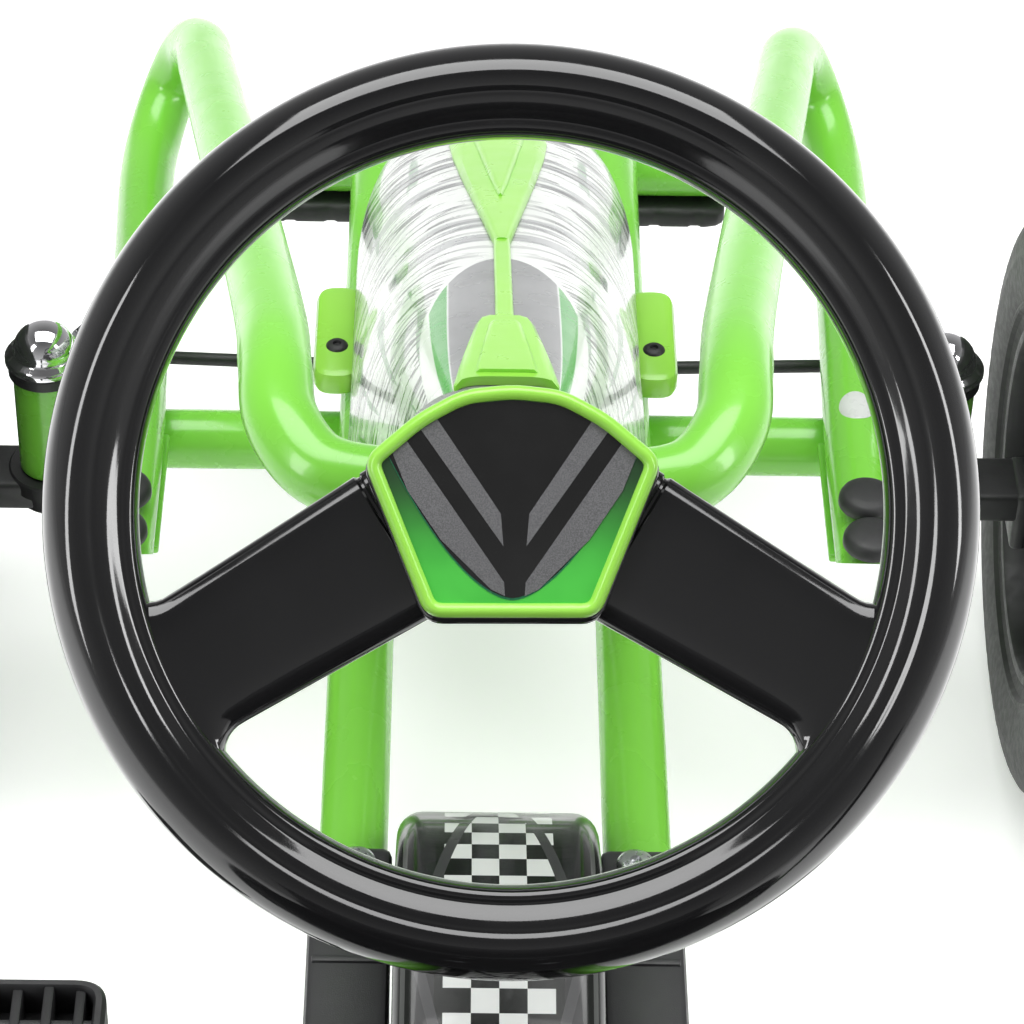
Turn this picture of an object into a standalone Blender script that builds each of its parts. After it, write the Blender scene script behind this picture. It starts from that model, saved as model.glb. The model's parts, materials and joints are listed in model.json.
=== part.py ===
"""A child's pedal go kart, in metres: +Y forward, +X to the driver's right, +Z up.

The ground is z = 0 and the origin is under the middle of the kart. Most places are
given as a distance ahead of the steering wheel, because the tubes, the fairing and
the controls are all laid out around the steering column.
"""
import math

import bmesh
import bpy
from mathutils import Matrix, Vector

# ---- layout ----
STEER_Y = -0.0713
STEER_Z = 0.456
WHEEL_TILT = math.radians(1.8)
RAKE = math.radians(41.0)
FRONT_AXLE_Y = STEER_Y + 0.384
REAR_AXLE_Y = STEER_Y - 0.360
AXLE_Z = 0.130
CRANK_Y = STEER_Y + 0.027
CRANK_Z = 0.165
GAP = 0.0003

# ---- tubes ----
TUBE_R = 0.0127
RAIL_X = 0.0524
RAIL_Z = 0.187
BEAM_Z = RAIL_Z - 2.0 * TUBE_R - GAP
RAIL_FRONT_Y = STEER_Y + 0.600
RAIL_REAR_Y = STEER_Y - 0.415
CROSS_Y = STEER_Y + 0.586
TUBE_WALL = 0.0016
CROSS_HALF = 0.110
BUMPER_HALF = 0.109
BUMPER_THICK = 0.011

# ---- steering ----
RIM_MID_R = 0.1255
RIM_SECTION_R = 0.0145
SPOKE_DROP = math.radians(29.0)
SPOKE_WIDTH = 0.047
SPOKE_THICK = 0.018
HUB_OUTLINE = [(-0.0444, 0.015), (-0.025, -0.0313), (0.025, -0.0313), (0.0444, 0.015),
               (0.030, 0.029), (0.012, 0.0365), (-0.012, 0.0365), (-0.030, 0.029)]
COLUMN_R = 0.008
BORE_SLACK = 0.0006
HEAD_AT = 0.119
HEAD_R = 0.017
HEAD_LENGTH = 0.042
FOOT_AT = 0.5085
PITMAN_AT = 0.5738
PITMAN_REACH = 0.064
PITMAN_THICK = 0.005
ROD_R = 0.003
ROD_END_R = 0.008
ROD_END_LENGTH = 0.008
KINGPIN_X = 0.189
KINGPIN_R = 0.005
SLEEVE_R = 0.014
FLANGE_R = 0.019
FLANGE_BOTTOM = 0.1305
SLEEVE_BOTTOM = 0.1475
SLEEVE_TOP = 0.2037
BALL_X = KINGPIN_X - 0.007
KNUCKLE_FACE_X = 0.2325
BALL_Y = STEER_Y + 0.475
ARM_BOTTOM = 0.1385
ARM_TOP = 0.1445

# ---- wheels ----
TYRE_R = 0.130
TYRE_X = 0.254
TYRE_HALF = 0.026
AXLE_HALF = TYRE_X + 0.0285
TYRE_STEPS = 32
RIM_STEPS = 24
SPINDLE_R = 0.007
RIM_BORE_R = SPINDLE_R + GAP
HUB_R = 0.017
HUB_INNER = 0.0190
HUB_OUTER = 0.0290
RIM_BARREL_R = 0.080
TYRE_BORE_R = (RIM_BARREL_R + GAP) / math.cos(math.pi / TYRE_STEPS)

# ---- drive ----
CHAIN_R_FRONT = 0.0729
CHAIN_R_REAR = 0.0366
CHAIN_HALF = 0.0035
CASE_R_FRONT = 0.095
CASE_R_REAR = 0.046
CASE_HALF_WIDTH = 0.0358
CASE_WALL = 0.003
CRANK_LENGTH = 0.110
CRANK_ANGLE = math.radians(52.0)
CRANK_ARM_X = 0.076
PEDAL_INNER = 0.129
PEDAL_OUTER = 0.209
PEDAL_HALF = 0.030
PEDAL_THICK = 0.016
PEDAL_PIN_R = 0.0045

# ---- seat and brake ----
SEAT_WALL = 0.005
BRACKET_Y = (STEER_Y - 0.350, STEER_Y - 0.200)
BRACKET_TOP = 0.229
BRAKE_Y = STEER_Y - 0.200
BRAKE_X = 0.201
BRAKE_LEAN = math.radians(75.0)
BRAKE_LENGTH = 0.240
SHOE_ANGLE = math.radians(152.6)
SHOE_REACH = 0.047

COLOURS = {
    "green_paint": ((0.30, 0.78, 0.11), 0.28, 0.0),
    "green_plastic": ((0.40, 0.80, 0.14), 0.35, 0.0),
    "white_plastic": ((0.90, 0.92, 0.90), 0.30, 0.0),
    "gloss_black": ((0.012, 0.012, 0.013), 0.12, 0.0),
    "matte_black": ((0.030, 0.030, 0.032), 0.55, 0.0),
    "dark_grey": ((0.060, 0.060, 0.062), 0.50, 0.0),
    "tyre_black": ((0.025, 0.025, 0.026), 0.80, 0.0),
    "chrome": ((0.85, 0.85, 0.86), 0.10, 1.0),
    "steel": ((0.55, 0.56, 0.58), 0.35, 1.0),
    "seat_black": ((0.035, 0.035, 0.038), 0.45, 0.0),
}

for old in list(bpy.data.objects):
    bpy.data.objects.remove(old, do_unlink=True)

kart = bpy.data.collections.new("pedal_go_kart")
bpy.context.scene.collection.children.link(kart)
cutters = bpy.data.collections.new("cutters")
bpy.context.scene.collection.children.link(cutters)
materials = {}


# ---- helpers ----
def material(key):
    if key not in materials:
        colour, roughness, metallic = COLOURS[key]
        made = bpy.data.materials.new(key)
        made.use_nodes = True
        shader = made.node_tree.nodes["Principled BSDF"]
        shader.inputs["Base Color"].default_value = (*colour, 1.0)
        shader.inputs["Roughness"].default_value = roughness
        shader.inputs["Metallic"].default_value = metallic
        materials[key] = made
    return materials[key]


def add(name, data, key, matrix=None, collection=None):
    piece = bpy.data.objects.new(name, data)
    piece.matrix_world = matrix or Matrix.Identity(4)
    (collection or kart).objects.link(piece)
    if key:
        data.materials.append(material(key))
    return piece


def mesh_from(bm, name):
    bmesh.ops.recalc_face_normals(bm, faces=bm.faces)
    data = bpy.data.meshes.new(name)
    bm.to_mesh(data)
    bm.free()
    return data


def smooth(piece, degrees=35.0):
    piece.data.shade_smooth()
    piece.data.set_sharp_from_angle(angle=math.radians(degrees))
    return piece


def along(start, end):
    """Matrix whose +Z runs from start to end, with its origin halfway."""
    start, end = Vector(start), Vector(end)
    turn = (end - start).to_track_quat("Z", "Y")
    return Matrix.Translation((start + end) / 2.0) @ turn.to_matrix().to_4x4()


def rod_mesh(start, end, radius, segments, name):
    bm = bmesh.new()
    depth = (Vector(end) - Vector(start)).length
    bmesh.ops.create_cone(bm, cap_ends=True, segments=segments, radius1=radius,
                          radius2=radius, depth=depth)
    bmesh.ops.transform(bm, matrix=along(start, end), verts=bm.verts)
    return mesh_from(bm, name)


def rod(name, start, end, radius, key, segments=20):
    return smooth(add(name, rod_mesh(start, end, radius, segments, name), key))


def box(name, low, high, key, bevel=0.0, segments=2):
    bm = bmesh.new()
    bmesh.ops.create_cube(bm, size=1.0)
    low, high = Vector(low), Vector(high)
    bmesh.ops.scale(bm, vec=high - low, verts=bm.verts)
    bmesh.ops.translate(bm, vec=(low + high) / 2.0, verts=bm.verts)
    if bevel:
        bmesh.ops.bevel(bm, geom=bm.edges, offset=bevel, segments=segments, affect="EDGES",
                        profile=0.5)
    return add(name, mesh_from(bm, name), key)


def turned(name, profile, matrix, steps, key):
    """A closed profile of (radius, height) turned about the matrix's +Z."""
    data = bpy.data.meshes.new(name)
    count = len(profile)
    edges = [(i, (i + 1) % count) for i in range(count)]
    if profile[0][0] == 0.0:
        edges.pop()
    data.from_pydata([(r, 0.0, z) for r, z in profile], edges, [])
    piece = add(name, data, key, matrix)
    screw = piece.modifiers.new("turn", "SCREW")
    screw.steps = steps
    screw.render_steps = steps
    screw.use_merge_vertices = True
    screw.merge_threshold = 0.00001
    screw.use_smooth_shade = True
    screw.use_normal_calculate = True
    return baked(piece)


def sleeve(name, start, end, outer, inner, key, steps=24):
    half = (Vector(end) - Vector(start)).length / 2.0
    profile = [(outer, half), (outer, -half), (inner, -half), (inner, half)]
    return turned(name, profile, along(start, end), steps, key)


def bent_tube(name, points, radius, key, sides=4, samples=5):
    """A tube along a smooth curve through the given points."""
    path = smooth_path(points, samples)
    curve = bpy.data.curves.new(name, "CURVE")
    curve.dimensions = "3D"
    curve.bevel_depth = radius
    curve.bevel_resolution = sides
    curve.use_fill_caps = True
    spline = curve.splines.new("POLY")
    spline.points.add(len(path) - 1)
    for point, place in zip(spline.points, path):
        point.co = (*place, 1.0)
    return add(name, curve, key)


def smooth_path(points, samples):
    """Catmull-Rom samples through the points, ends included."""
    knots = [Vector(p) for p in points]
    knots = [2 * knots[0] - knots[1]] + knots + [2 * knots[-1] - knots[-2]]
    path = []
    for a, b, c, d in zip(knots, knots[1:], knots[2:], knots[3:]):
        for step in range(samples):
            t = step / samples
            path.append(0.5 * (2 * b + (c - a) * t + (2 * a - 5 * b + 4 * c - d) * t * t
                               + (3 * b - a - 3 * c + d) * t ** 3))
    path.append(knots[-2])
    return path


def plate(name, outline, thickness, matrix, key, holes=()):
    """A flat outline in the matrix's XY plane, centred on its thickness."""
    curve = bpy.data.curves.new(name, "CURVE")
    curve.dimensions = "2D"
    curve.fill_mode = "BOTH"
    curve.extrude = thickness / 2.0
    for loop in (outline, *holes):
        spline = curve.splines.new("POLY")
        spline.points.add(len(loop) - 1)
        for point, (x, y) in zip(spline.points, loop):
            point.co = (x, y, 0.0, 1.0)
        spline.use_cyclic_u = True
    return as_mesh(add(name, curve, key, matrix))


def as_mesh(piece):
    """Turn a curve object into a mesh object with its caps welded."""
    bpy.context.view_layer.update()
    graph = bpy.context.evaluated_depsgraph_get()
    data = bpy.data.meshes.new_from_object(piece.evaluated_get(graph))
    bm = bmesh.new()
    bm.from_mesh(data)
    bmesh.ops.remove_doubles(bm, verts=bm.verts, dist=0.00001)
    bmesh.ops.recalc_face_normals(bm, faces=bm.faces)
    bm.to_mesh(data)
    bm.free()
    name, place, home = piece.name, piece.matrix_world.copy(), piece.users_collection[0]
    bpy.data.objects.remove(piece, do_unlink=True)
    made = bpy.data.objects.new(name, data)
    made.matrix_world = place
    home.objects.link(made)
    return made


def baked(piece):
    """Apply the modifiers of a mesh object and face its surface outwards."""
    bpy.context.view_layer.update()
    graph = bpy.context.evaluated_depsgraph_get()
    data = bpy.data.meshes.new_from_object(piece.evaluated_get(graph))
    bm = bmesh.new()
    bm.from_mesh(data)
    bmesh.ops.remove_doubles(bm, verts=bm.verts, dist=0.000005)
    bmesh.ops.recalc_face_normals(bm, faces=bm.faces)
    bm.to_mesh(data)
    bm.free()
    piece.modifiers.clear()
    piece.data = data
    return piece


def combine(target, tool, operation):
    """Join the tool to the target, or cut it away, and apply the result."""
    for home in list(tool.users_collection):
        home.objects.unlink(tool)
    cutters.objects.link(tool)
    tool.hide_render = True
    tool.display_type = "WIRE"
    modifier = target.modifiers.new("combine", "BOOLEAN")
    modifier.operation = operation
    modifier.solver = "EXACT"
    modifier.object = tool
    baked(target)
    return target


def join(target, *tools):
    for tool in tools:
        combine(target, tool, "UNION")
    return smooth(target)


def cut(target, *tools):
    for tool in tools:
        combine(target, tool, "DIFFERENCE")
    return smooth(target)


def column(t, reach=0.0, x=0.0):
    """A point t metres down the steering column and reach metres off it, upwards."""
    down = Vector((0.0, math.cos(RAKE), -math.sin(RAKE)))
    off = Vector((0.0, math.sin(RAKE), math.cos(RAKE)))
    return Vector((x, STEER_Y, STEER_Z)) + down * t + off * reach


def wheel_plane(t=0.0):
    """Steering wheel frame: X right, Y up the wheel's face, Z towards the driver."""
    off = Vector((0.0, math.sin(RAKE), math.cos(RAKE)))
    back = Vector((0.0, -math.cos(RAKE), math.sin(RAKE)))
    frame = Matrix((Vector((1.0, 0.0, 0.0)), off, back)).transposed().to_4x4()
    return Matrix.Translation(column(t)) @ frame


def sideways(x, y, z, side=1.0):
    """Frame for pieces turned about the X axis, +Z pointing outwards."""
    return Matrix.Translation((x, y, z)) @ Matrix.Rotation(side * math.pi / 2.0, 4, "Y")


def circle(radius, count, centre=(0.0, 0.0), first=0.0):
    step = 2.0 * math.pi / count
    return [(centre[0] + radius * math.cos(first + i * step),
             centre[1] + radius * math.sin(first + i * step)) for i in range(count)]


def belt_outline(front_r, rear_r, count=14):
    """Outline round the crank and the rear axle, in the (Y, Z) plane."""
    span = Vector((CRANK_Y - REAR_AXLE_Y, CRANK_Z - AXLE_Z))
    tilt = math.atan2(span.y, span.x)
    wrap = math.pi - math.acos((front_r - rear_r) / span.length)
    loop = []
    for i in range(count + 1):
        angle = tilt - wrap + 2.0 * wrap * i / count
        loop.append((CRANK_Y + front_r * math.cos(angle), CRANK_Z + front_r * math.sin(angle)))
    for i in range(count // 2 + 1):
        angle = tilt + wrap + 2.0 * (math.pi - wrap) * i / (count // 2)
        loop.append((REAR_AXLE_Y + rear_r * math.cos(angle), AXLE_Z + rear_r * math.sin(angle)))
    return loop


# (Y, Z, X) frame for plates that stand in the Y-Z plane
STANDING = Matrix(((0, 0, 1, 0), (1, 0, 0, 0), (0, 1, 0, 0), (0, 0, 0, 1)))


# ---- frame ----
def make_frame():
    for side, tag in ((-1, "left"), (1, "right")):
        sleeve("rail_" + tag, (side * RAIL_X, RAIL_REAR_Y, RAIL_Z),
               (side * RAIL_X, RAIL_FRONT_Y, RAIL_Z), TUBE_R, TUBE_R - TUBE_WALL, "green_paint")
        sleeve("kingpin_sleeve_" + tag, (side * KINGPIN_X, FRONT_AXLE_Y, SLEEVE_BOTTOM),
               (side * KINGPIN_X, FRONT_AXLE_Y, SLEEVE_TOP), SLEEVE_R,
               KINGPIN_R + BORE_SLACK, "green_paint")
        make_hoop(side, tag)
        make_axle_bracket(side, tag)
        make_moulding(side, tag)
    beam_end = KINGPIN_X - SLEEVE_R - GAP
    for name, half, y in (("front_axle_beam", beam_end, FRONT_AXLE_Y),
                          ("front_crossmember", CROSS_HALF, CROSS_Y)):
        sleeve(name, (-half, y, BEAM_Z), (half, y, BEAM_Z), TUBE_R, TUBE_R - TUBE_WALL,
               "green_paint")
    bumper_top = BEAM_Z - TUBE_R - GAP
    box("front_bumper", (-BUMPER_HALF, CROSS_Y - 0.016, bumper_top - BUMPER_THICK),
        (BUMPER_HALF, CROSS_Y + 0.022, bumper_top), "matte_black", 0.004)
    sleeve("steering_head_tube", column(HEAD_AT - HEAD_LENGTH / 2),
           column(HEAD_AT + HEAD_LENGTH / 2), HEAD_R, COLUMN_R + BORE_SLACK, "green_paint")
    sleeve("column_foot_bush", column(FOOT_AT - 0.013), column(FOOT_AT + 0.013), 0.0155,
           COLUMN_R + BORE_SLACK, "matte_black")


def make_hoop(side, tag):
    """One half of the hoop: from the steering head, over the top and back along the side."""
    start = column(HEAD_AT, 0.008, side * (HEAD_R + 0.0014))
    ahead = [(0.040, 0.0955, 0.3842), (0.062, 0.1010, 0.3860), (0.075, 0.1200, 0.3910),
             (0.0785, 0.1500, 0.3895), (0.083, 0.200, 0.373), (0.101, 0.340, 0.3185),
             (0.122, 0.4965, 0.2575), (0.130, 0.556, 0.2345), (0.1355, 0.598, 0.217),
             (0.1435, 0.6265, 0.197), (0.1535, 0.6305, 0.172), (0.1605, 0.606, 0.158),
             (0.1615, 0.570, 0.158), (0.158, 0.500, 0.1665), (0.154, 0.430, 0.1795),
             (0.1515, 0.384, 0.1870), (0.150, 0.340, 0.1900), (0.1495, 0.256, 0.1925)]
    points = [tuple(start)] + [(side * x, STEER_Y + y, z) for x, y, z in ahead]
    bent_tube("hoop_" + tag, points, TUBE_R, "green_paint", 3, 2)
    bracket_low = (side * 0.150 - 0.013, STEER_Y + 0.262, 0.1715)
    bracket_high = (side * 0.150 + 0.013, STEER_Y + 0.3705, 0.1755)
    box("hoop_bracket_" + tag, bracket_low, bracket_high, "green_paint")
    for place, y in (("front", 0.2955), ("rear", 0.2710)):
        profile = [(0.0, 0.0110), (0.0070, 0.0095), (0.0108, 0.0050), (0.0115, 0.0), (0.0, 0.0)]
        name = "hoop_cap_nut_" + tag + "_" + place
        seat_z = 0.1925 + TUBE_R + 2 * GAP
        spot = Matrix.Translation((side * 0.1495, STEER_Y + y, seat_z))
        turned(name, profile, spot, 16, "matte_black")


def make_axle_bracket(side, tag):
    """Plate hanging from the rail, with the rear axle's bearing hole."""
    inner = RAIL_X + TUBE_R + GAP
    half = 0.0025
    outline = [(REAR_AXLE_Y - 0.018, 0.108), (REAR_AXLE_Y + 0.018, 0.108),
               (REAR_AXLE_Y + 0.034, 0.150), (REAR_AXLE_Y + 0.034, 0.197),
               (REAR_AXLE_Y - 0.034, 0.197), (REAR_AXLE_Y - 0.034, 0.150)]
    hole = circle(SPINDLE_R + BORE_SLACK, 20, (REAR_AXLE_Y, AXLE_Z))
    matrix = Matrix.Translation((side * (inner + half), 0.0, 0.0)) @ STANDING
    plate("rear_axle_bracket_" + tag, outline, 2 * half, matrix, "green_paint", [hole])


def make_moulding(side, tag):
    """Plastic block round the rail that carries the crank's bearing."""
    low_x, high_x = sorted((side * 0.0378, side * 0.0672))
    block = box("crank_bearing_block_" + tag, (low_x, CRANK_Y - 0.045, 0.150),
                (high_x, CRANK_Y + 0.079, 0.2035), "dark_grey", 0.0035, 2)
    rail = rod("cut_rail_" + tag, (side * RAIL_X, CRANK_Y - 0.2, RAIL_Z),
               (side * RAIL_X, CRANK_Y + 0.3, RAIL_Z), TUBE_R + GAP, None, 24)
    axle = rod("cut_axle_" + tag, (side * 0.02, CRANK_Y, CRANK_Z),
               (side * 0.09, CRANK_Y, CRANK_Z), SPINDLE_R + BORE_SLACK, None, 20)
    low = box("cut_front_" + tag, (low_x - 0.01, CRANK_Y + 0.022, 0.14),
              (high_x + 0.01, CRANK_Y + 0.14, 0.1735), None)
    cut(block, rail, axle, low)


# ---- steering ----
def make_steering_wheel():
    bpy.ops.mesh.primitive_torus_add(major_radius=RIM_MID_R, minor_radius=RIM_SECTION_R,
                                     major_segments=48, minor_segments=10)
    wheel = bpy.context.object
    wheel.name = "steering_wheel"
    for home in list(wheel.users_collection):
        home.objects.unlink(wheel)
    kart.objects.link(wheel)
    wheel.data.materials.append(material("gloss_black"))
    face = wheel_plane() @ Matrix.Rotation(WHEEL_TILT, 4, "Z")
    parts = [plate("cut_hub", [(x * 0.97, y * 0.97) for x, y in HUB_OUTLINE], 0.022,
                   Matrix.Translation((0, 0, -0.004)), None)]
    for side in (-1, 1):
        spoke = box("cut_spoke", (0.010, -SPOKE_WIDTH / 2, -0.012),
                    (RIM_MID_R, SPOKE_WIDTH / 2, -0.012 + SPOKE_THICK), None, 0.004, 2)
        turn = Matrix.Rotation(-SPOKE_DROP, 4, "Z")
        if side < 0:
            turn = Matrix.Rotation(math.pi + SPOKE_DROP, 4, "Z")
        spoke.data.transform(turn)
        parts.append(spoke)
    boss = turned("cut_boss", [(0.0, -0.010), (0.024, -0.010), (0.015, -0.040), (0.0, -0.040)],
                  Matrix.Identity(4), 24, None)
    parts.append(boss)
    join(wheel, *parts)
    wheel.data.transform(face)
    plate("hub_cover", HUB_OUTLINE, 0.006, face @ Matrix.Translation((0, 0, 0.0103)),
          "green_plastic")


def make_column():
    shaft = rod("steering_column", column(0.0403), column(PITMAN_AT + 0.010), COLUMN_R, "steel")
    arm = plate("cut_pitman", [(-0.011, -0.012), (0.011, -0.012), (0.010, PITMAN_REACH + 0.008),
                               (0.0, PITMAN_REACH + 0.011), (-0.010, PITMAN_REACH + 0.008)],
                PITMAN_THICK, wheel_plane(PITMAN_AT), None)
    join(shaft, arm)
    reach = PITMAN_THICK / 2 + GAP + ROD_END_LENGTH / 2
    for side, tag, ahead in ((-1, "left", reach), (1, "right", -reach)):
        inner = column(PITMAN_AT + ahead, PITMAN_REACH)
        outer = Vector((side * BALL_X, BALL_Y, ARM_BOTTOM - 0.0005 - ROD_END_LENGTH / 2))
        link = rod("tie_rod_" + tag, inner, outer, ROD_R, "matte_black", 12)
        push = (column(1.0) - column(0.0)) * (ROD_END_LENGTH / 2)
        near = rod("cut_near_" + tag, inner - push, inner + push, ROD_END_R, None, 16)
        lift = Vector((0.0, 0.0, ROD_END_LENGTH / 2))
        far = rod("cut_far_" + tag, outer - lift, outer + lift, ROD_END_R, None, 16)
        join(link, near, far)


def make_knuckle(side, tag):
    """Kingpin, yoke, stub axle and steering arm in one forging."""
    flange_top = SLEEVE_BOTTOM - 0.0005
    pin = rod("knuckle_" + tag, (side * KINGPIN_X, FRONT_AXLE_Y, 0.136),
              (side * KINGPIN_X, FRONT_AXLE_Y, SLEEVE_TOP), KINGPIN_R, "matte_black", 16)
    flange = rod("cut_flange_" + tag, (side * KINGPIN_X, FRONT_AXLE_Y, FLANGE_BOTTOM),
                 (side * KINGPIN_X, FRONT_AXLE_Y, flange_top), FLANGE_R, None, 24)
    low_x, high_x = sorted((side * (KINGPIN_X + 0.004), side * KNUCKLE_FACE_X))
    foot = box("cut_foot_" + tag, (low_x, FRONT_AXLE_Y - 0.014, FLANGE_BOTTOM + 0.001),
               (high_x, FRONT_AXLE_Y + 0.014, flange_top - 0.001), None)
    low_x, high_x = sorted((side * (KNUCKLE_FACE_X - 0.008), side * KNUCKLE_FACE_X))
    face = box("cut_face_" + tag, (low_x, FRONT_AXLE_Y - 0.0145, 0.1160),
               (high_x, FRONT_AXLE_Y + 0.0145, flange_top - 0.0005), None)
    stub = rod("cut_stub_" + tag, (side * (KNUCKLE_FACE_X - 0.006), FRONT_AXLE_Y, AXLE_Z),
               (side * AXLE_HALF, FRONT_AXLE_Y, AXLE_Z), SPINDLE_R, None, 20)
    arm_height = (ARM_BOTTOM + ARM_TOP) / 2.0
    outline = [(side * (KINGPIN_X - 0.008), FRONT_AXLE_Y), (side * (KINGPIN_X + 0.008), FRONT_AXLE_Y),
               (side * (BALL_X + 0.008), BALL_Y + 0.002), (side * BALL_X, BALL_Y + 0.009),
               (side * (BALL_X - 0.008), BALL_Y + 0.002)]
    arm = plate("cut_arm_" + tag, outline, ARM_TOP - ARM_BOTTOM,
                Matrix.Translation((0, 0, arm_height)), None)
    join(pin, flange, foot, face, stub, arm)
    dome = [(0.0, 0.0175), (0.0060, 0.0165), (0.0105, 0.0120), (0.0128, 0.0050),
            (0.0168, 0.0040), (0.0168, 0.0), (0.0, 0.0)]
    turned("kingpin_cap_" + tag, dome,
           Matrix.Translation((side * KINGPIN_X, FRONT_AXLE_Y, SLEEVE_TOP + GAP)), 20, "chrome")


# ---- wheels ----
def make_wheel(side, y, tag):
    outer = TYRE_R / math.cos(math.pi / TYRE_STEPS)
    half = TYRE_HALF
    tread = [(TYRE_BORE_R, half - 0.006), (0.092, half - 0.001), (0.108, half),
             (outer - 0.0075, half - 0.004), (outer, half - 0.012)]
    profile = tread + [(r, -h) for r, h in reversed(tread)]
    frame = sideways(side * TYRE_X, y, AXLE_Z, side)
    flat = Matrix.Rotation(math.pi / TYRE_STEPS, 4, "Z")
    turned("tyre_" + tag, profile, frame @ flat, TYRE_STEPS, "tyre_black")
    barrel = [(RIM_BORE_R, HUB_OUTER), (HUB_R, HUB_OUTER), (HUB_R, 0.005), (0.0735, 0.003),
              (0.0745, half - 0.005), (RIM_BARREL_R, half - 0.005),
              (RIM_BARREL_R, -half + 0.005), (0.0745, -half + 0.005), (0.0735, -0.003),
              (HUB_R, -0.005), (HUB_R, -HUB_INNER), (RIM_BORE_R, -HUB_INNER)]
    turned("rim_" + tag, barrel, frame, RIM_STEPS, "matte_black")
    cap = [(0.0, 0.0150), (0.010, 0.0130), (0.0175, 0.0070), (0.0190, 0.0), (0.0, 0.0)]
    turned("wheel_cap_" + tag, cap,
           frame @ Matrix.Translation((0, 0, HUB_OUTER + GAP)), 20, "green_plastic")


# ---- drive ----
def make_chain_case():
    width = 2 * CASE_HALF_WIDTH
    case = plate("chain_case", belt_outline(CASE_R_FRONT, CASE_R_REAR), width, STANDING,
                 "gloss_black")
    case.data.transform(case.matrix_world)
    case.matrix_world = Matrix.Identity(4)
    bevel = case.modifiers.new("edge", "BEVEL")
    bevel.width = 0.009
    bevel.segments = 2
    bevel.limit_method = "ANGLE"
    bevel.angle_limit = math.radians(60.0)
    baked(case)
    hollow = plate("cut_hollow", belt_outline(CASE_R_FRONT - CASE_WALL, CASE_R_REAR - CASE_WALL),
                   width - 2 * CASE_WALL, STANDING, None)
    front = rod("cut_crank_hole", (-0.05, CRANK_Y, CRANK_Z), (0.05, CRANK_Y, CRANK_Z), 0.010,
                None, 20)
    rear = rod("cut_axle_hole", (-0.05, REAR_AXLE_Y, AXLE_Z), (0.05, REAR_AXLE_Y, AXLE_Z),
               0.010, None, 20)
    cut(case, front, rear, hollow)


def make_drive():
    chain_outer = belt_outline(CHAIN_R_FRONT + CHAIN_HALF, CHAIN_R_REAR + CHAIN_HALF, 24)
    chain_inner = belt_outline(CHAIN_R_FRONT - CHAIN_HALF, CHAIN_R_REAR - CHAIN_HALF, 24)
    plate("drive_chain", chain_outer, 0.006, STANDING, "steel", [chain_inner])
    ring_r = CHAIN_R_FRONT - CHAIN_HALF - 0.001
    bore = circle(SPINDLE_R + GAP, 20)
    standing = Matrix.Translation((0.0, CRANK_Y, CRANK_Z)) @ STANDING
    lightening = [circle(0.012, 12, (0.040 * math.cos(a), 0.040 * math.sin(a)))
                  for a in (math.radians(72 * i) for i in range(5))]
    plate("chainring", circle(ring_r, 36), 0.003, standing, "steel", [bore, *lightening])
    standing = Matrix.Translation((0.0, REAR_AXLE_Y, AXLE_Z)) @ STANDING
    plate("rear_sprocket", circle(CHAIN_R_REAR - CHAIN_HALF - 0.001, 24), 0.003, standing,
          "steel", [circle(RIM_BORE_R, 20)])
    rod("rear_axle", (-AXLE_HALF, REAR_AXLE_Y, AXLE_Z), (AXLE_HALF, REAR_AXLE_Y, AXLE_Z),
        SPINDLE_R, "steel")
    crank = rod("crank", (-CRANK_ARM_X, CRANK_Y, CRANK_Z), (CRANK_ARM_X, CRANK_Y, CRANK_Z),
                SPINDLE_R, "matte_black")
    pieces = []
    for side, tag in ((-1, "left"), (1, "right")):
        end = pedal_axis(side)
        start = Vector((side * CRANK_ARM_X, CRANK_Y, CRANK_Z))
        arm = box("cut_arm", (-0.005, -0.010, -0.014), (0.005, 0.010, CRANK_LENGTH + 0.012), None,
                  0.003, 2)
        lean = math.atan2(-(end.y - start.y), end.z - start.z)
        arm.data.transform(Matrix.Translation(start) @ Matrix.Rotation(lean, 4, "X"))
        pin = rod("cut_pin", end, end + Vector((side * 0.125, 0.0, 0.0)), PEDAL_PIN_R, None, 16)
        pieces += [arm, pin]
        make_pedal(side, tag, end)
    join(crank, *pieces)


def pedal_axis(side):
    """Where a pedal's pin leaves its crank arm."""
    swing = Vector((0.0, side * math.cos(CRANK_ANGLE), -side * math.sin(CRANK_ANGLE)))
    return Vector((side * CRANK_ARM_X, CRANK_Y, CRANK_Z)) + CRANK_LENGTH * swing


def make_pedal(side, tag, centre):
    low_x, high_x = sorted((side * PEDAL_INNER, side * PEDAL_OUTER))
    body = box("pedal_" + tag, (low_x, centre.y - PEDAL_HALF, centre.z - PEDAL_THICK / 2),
               (high_x, centre.y + PEDAL_HALF, centre.z + PEDAL_THICK / 2), "matte_black",
               0.0045, 2)
    hole = rod("cut_pedal_" + tag, (side * 0.08, centre.y, centre.z),
               (side * 0.2025, centre.y, centre.z), PEDAL_PIN_R + GAP, None, 16)
    cut(body, hole)


# ---- bodywork ----
def spine_height(y):
    """Top line of the fairing, y metres ahead of the steering wheel."""
    if y < 0.479:
        return 0.4497 - 0.405 * y
    fall = (y - 0.479) / 0.066
    return 0.2557 - 0.0267 * fall - 0.020 * fall ** 3


def fairing_half_width(y):
    grow = max(0.0, min(1.0, (y - 0.125) / 0.185))
    shrink = max(0.0, (y - 0.44) / 0.105)
    return 0.026 + 0.0315 * math.sin(grow * math.pi / 2) - 0.022 * shrink ** 2


FAIRING_BASE = RAIL_Z + TUBE_R + 0.0015
FAIRING_REAR = 0.125
FAIRING_SLANT = 0.125
SPINE_LIFT = 0.0036


def fairing_power(y):
    """Roundness of the cross-section: boxy at the rear, close to an ellipse ahead."""
    return 0.40 + 0.45 * max(0.0, min(1.0, (y - FAIRING_REAR) / 0.2))


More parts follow.
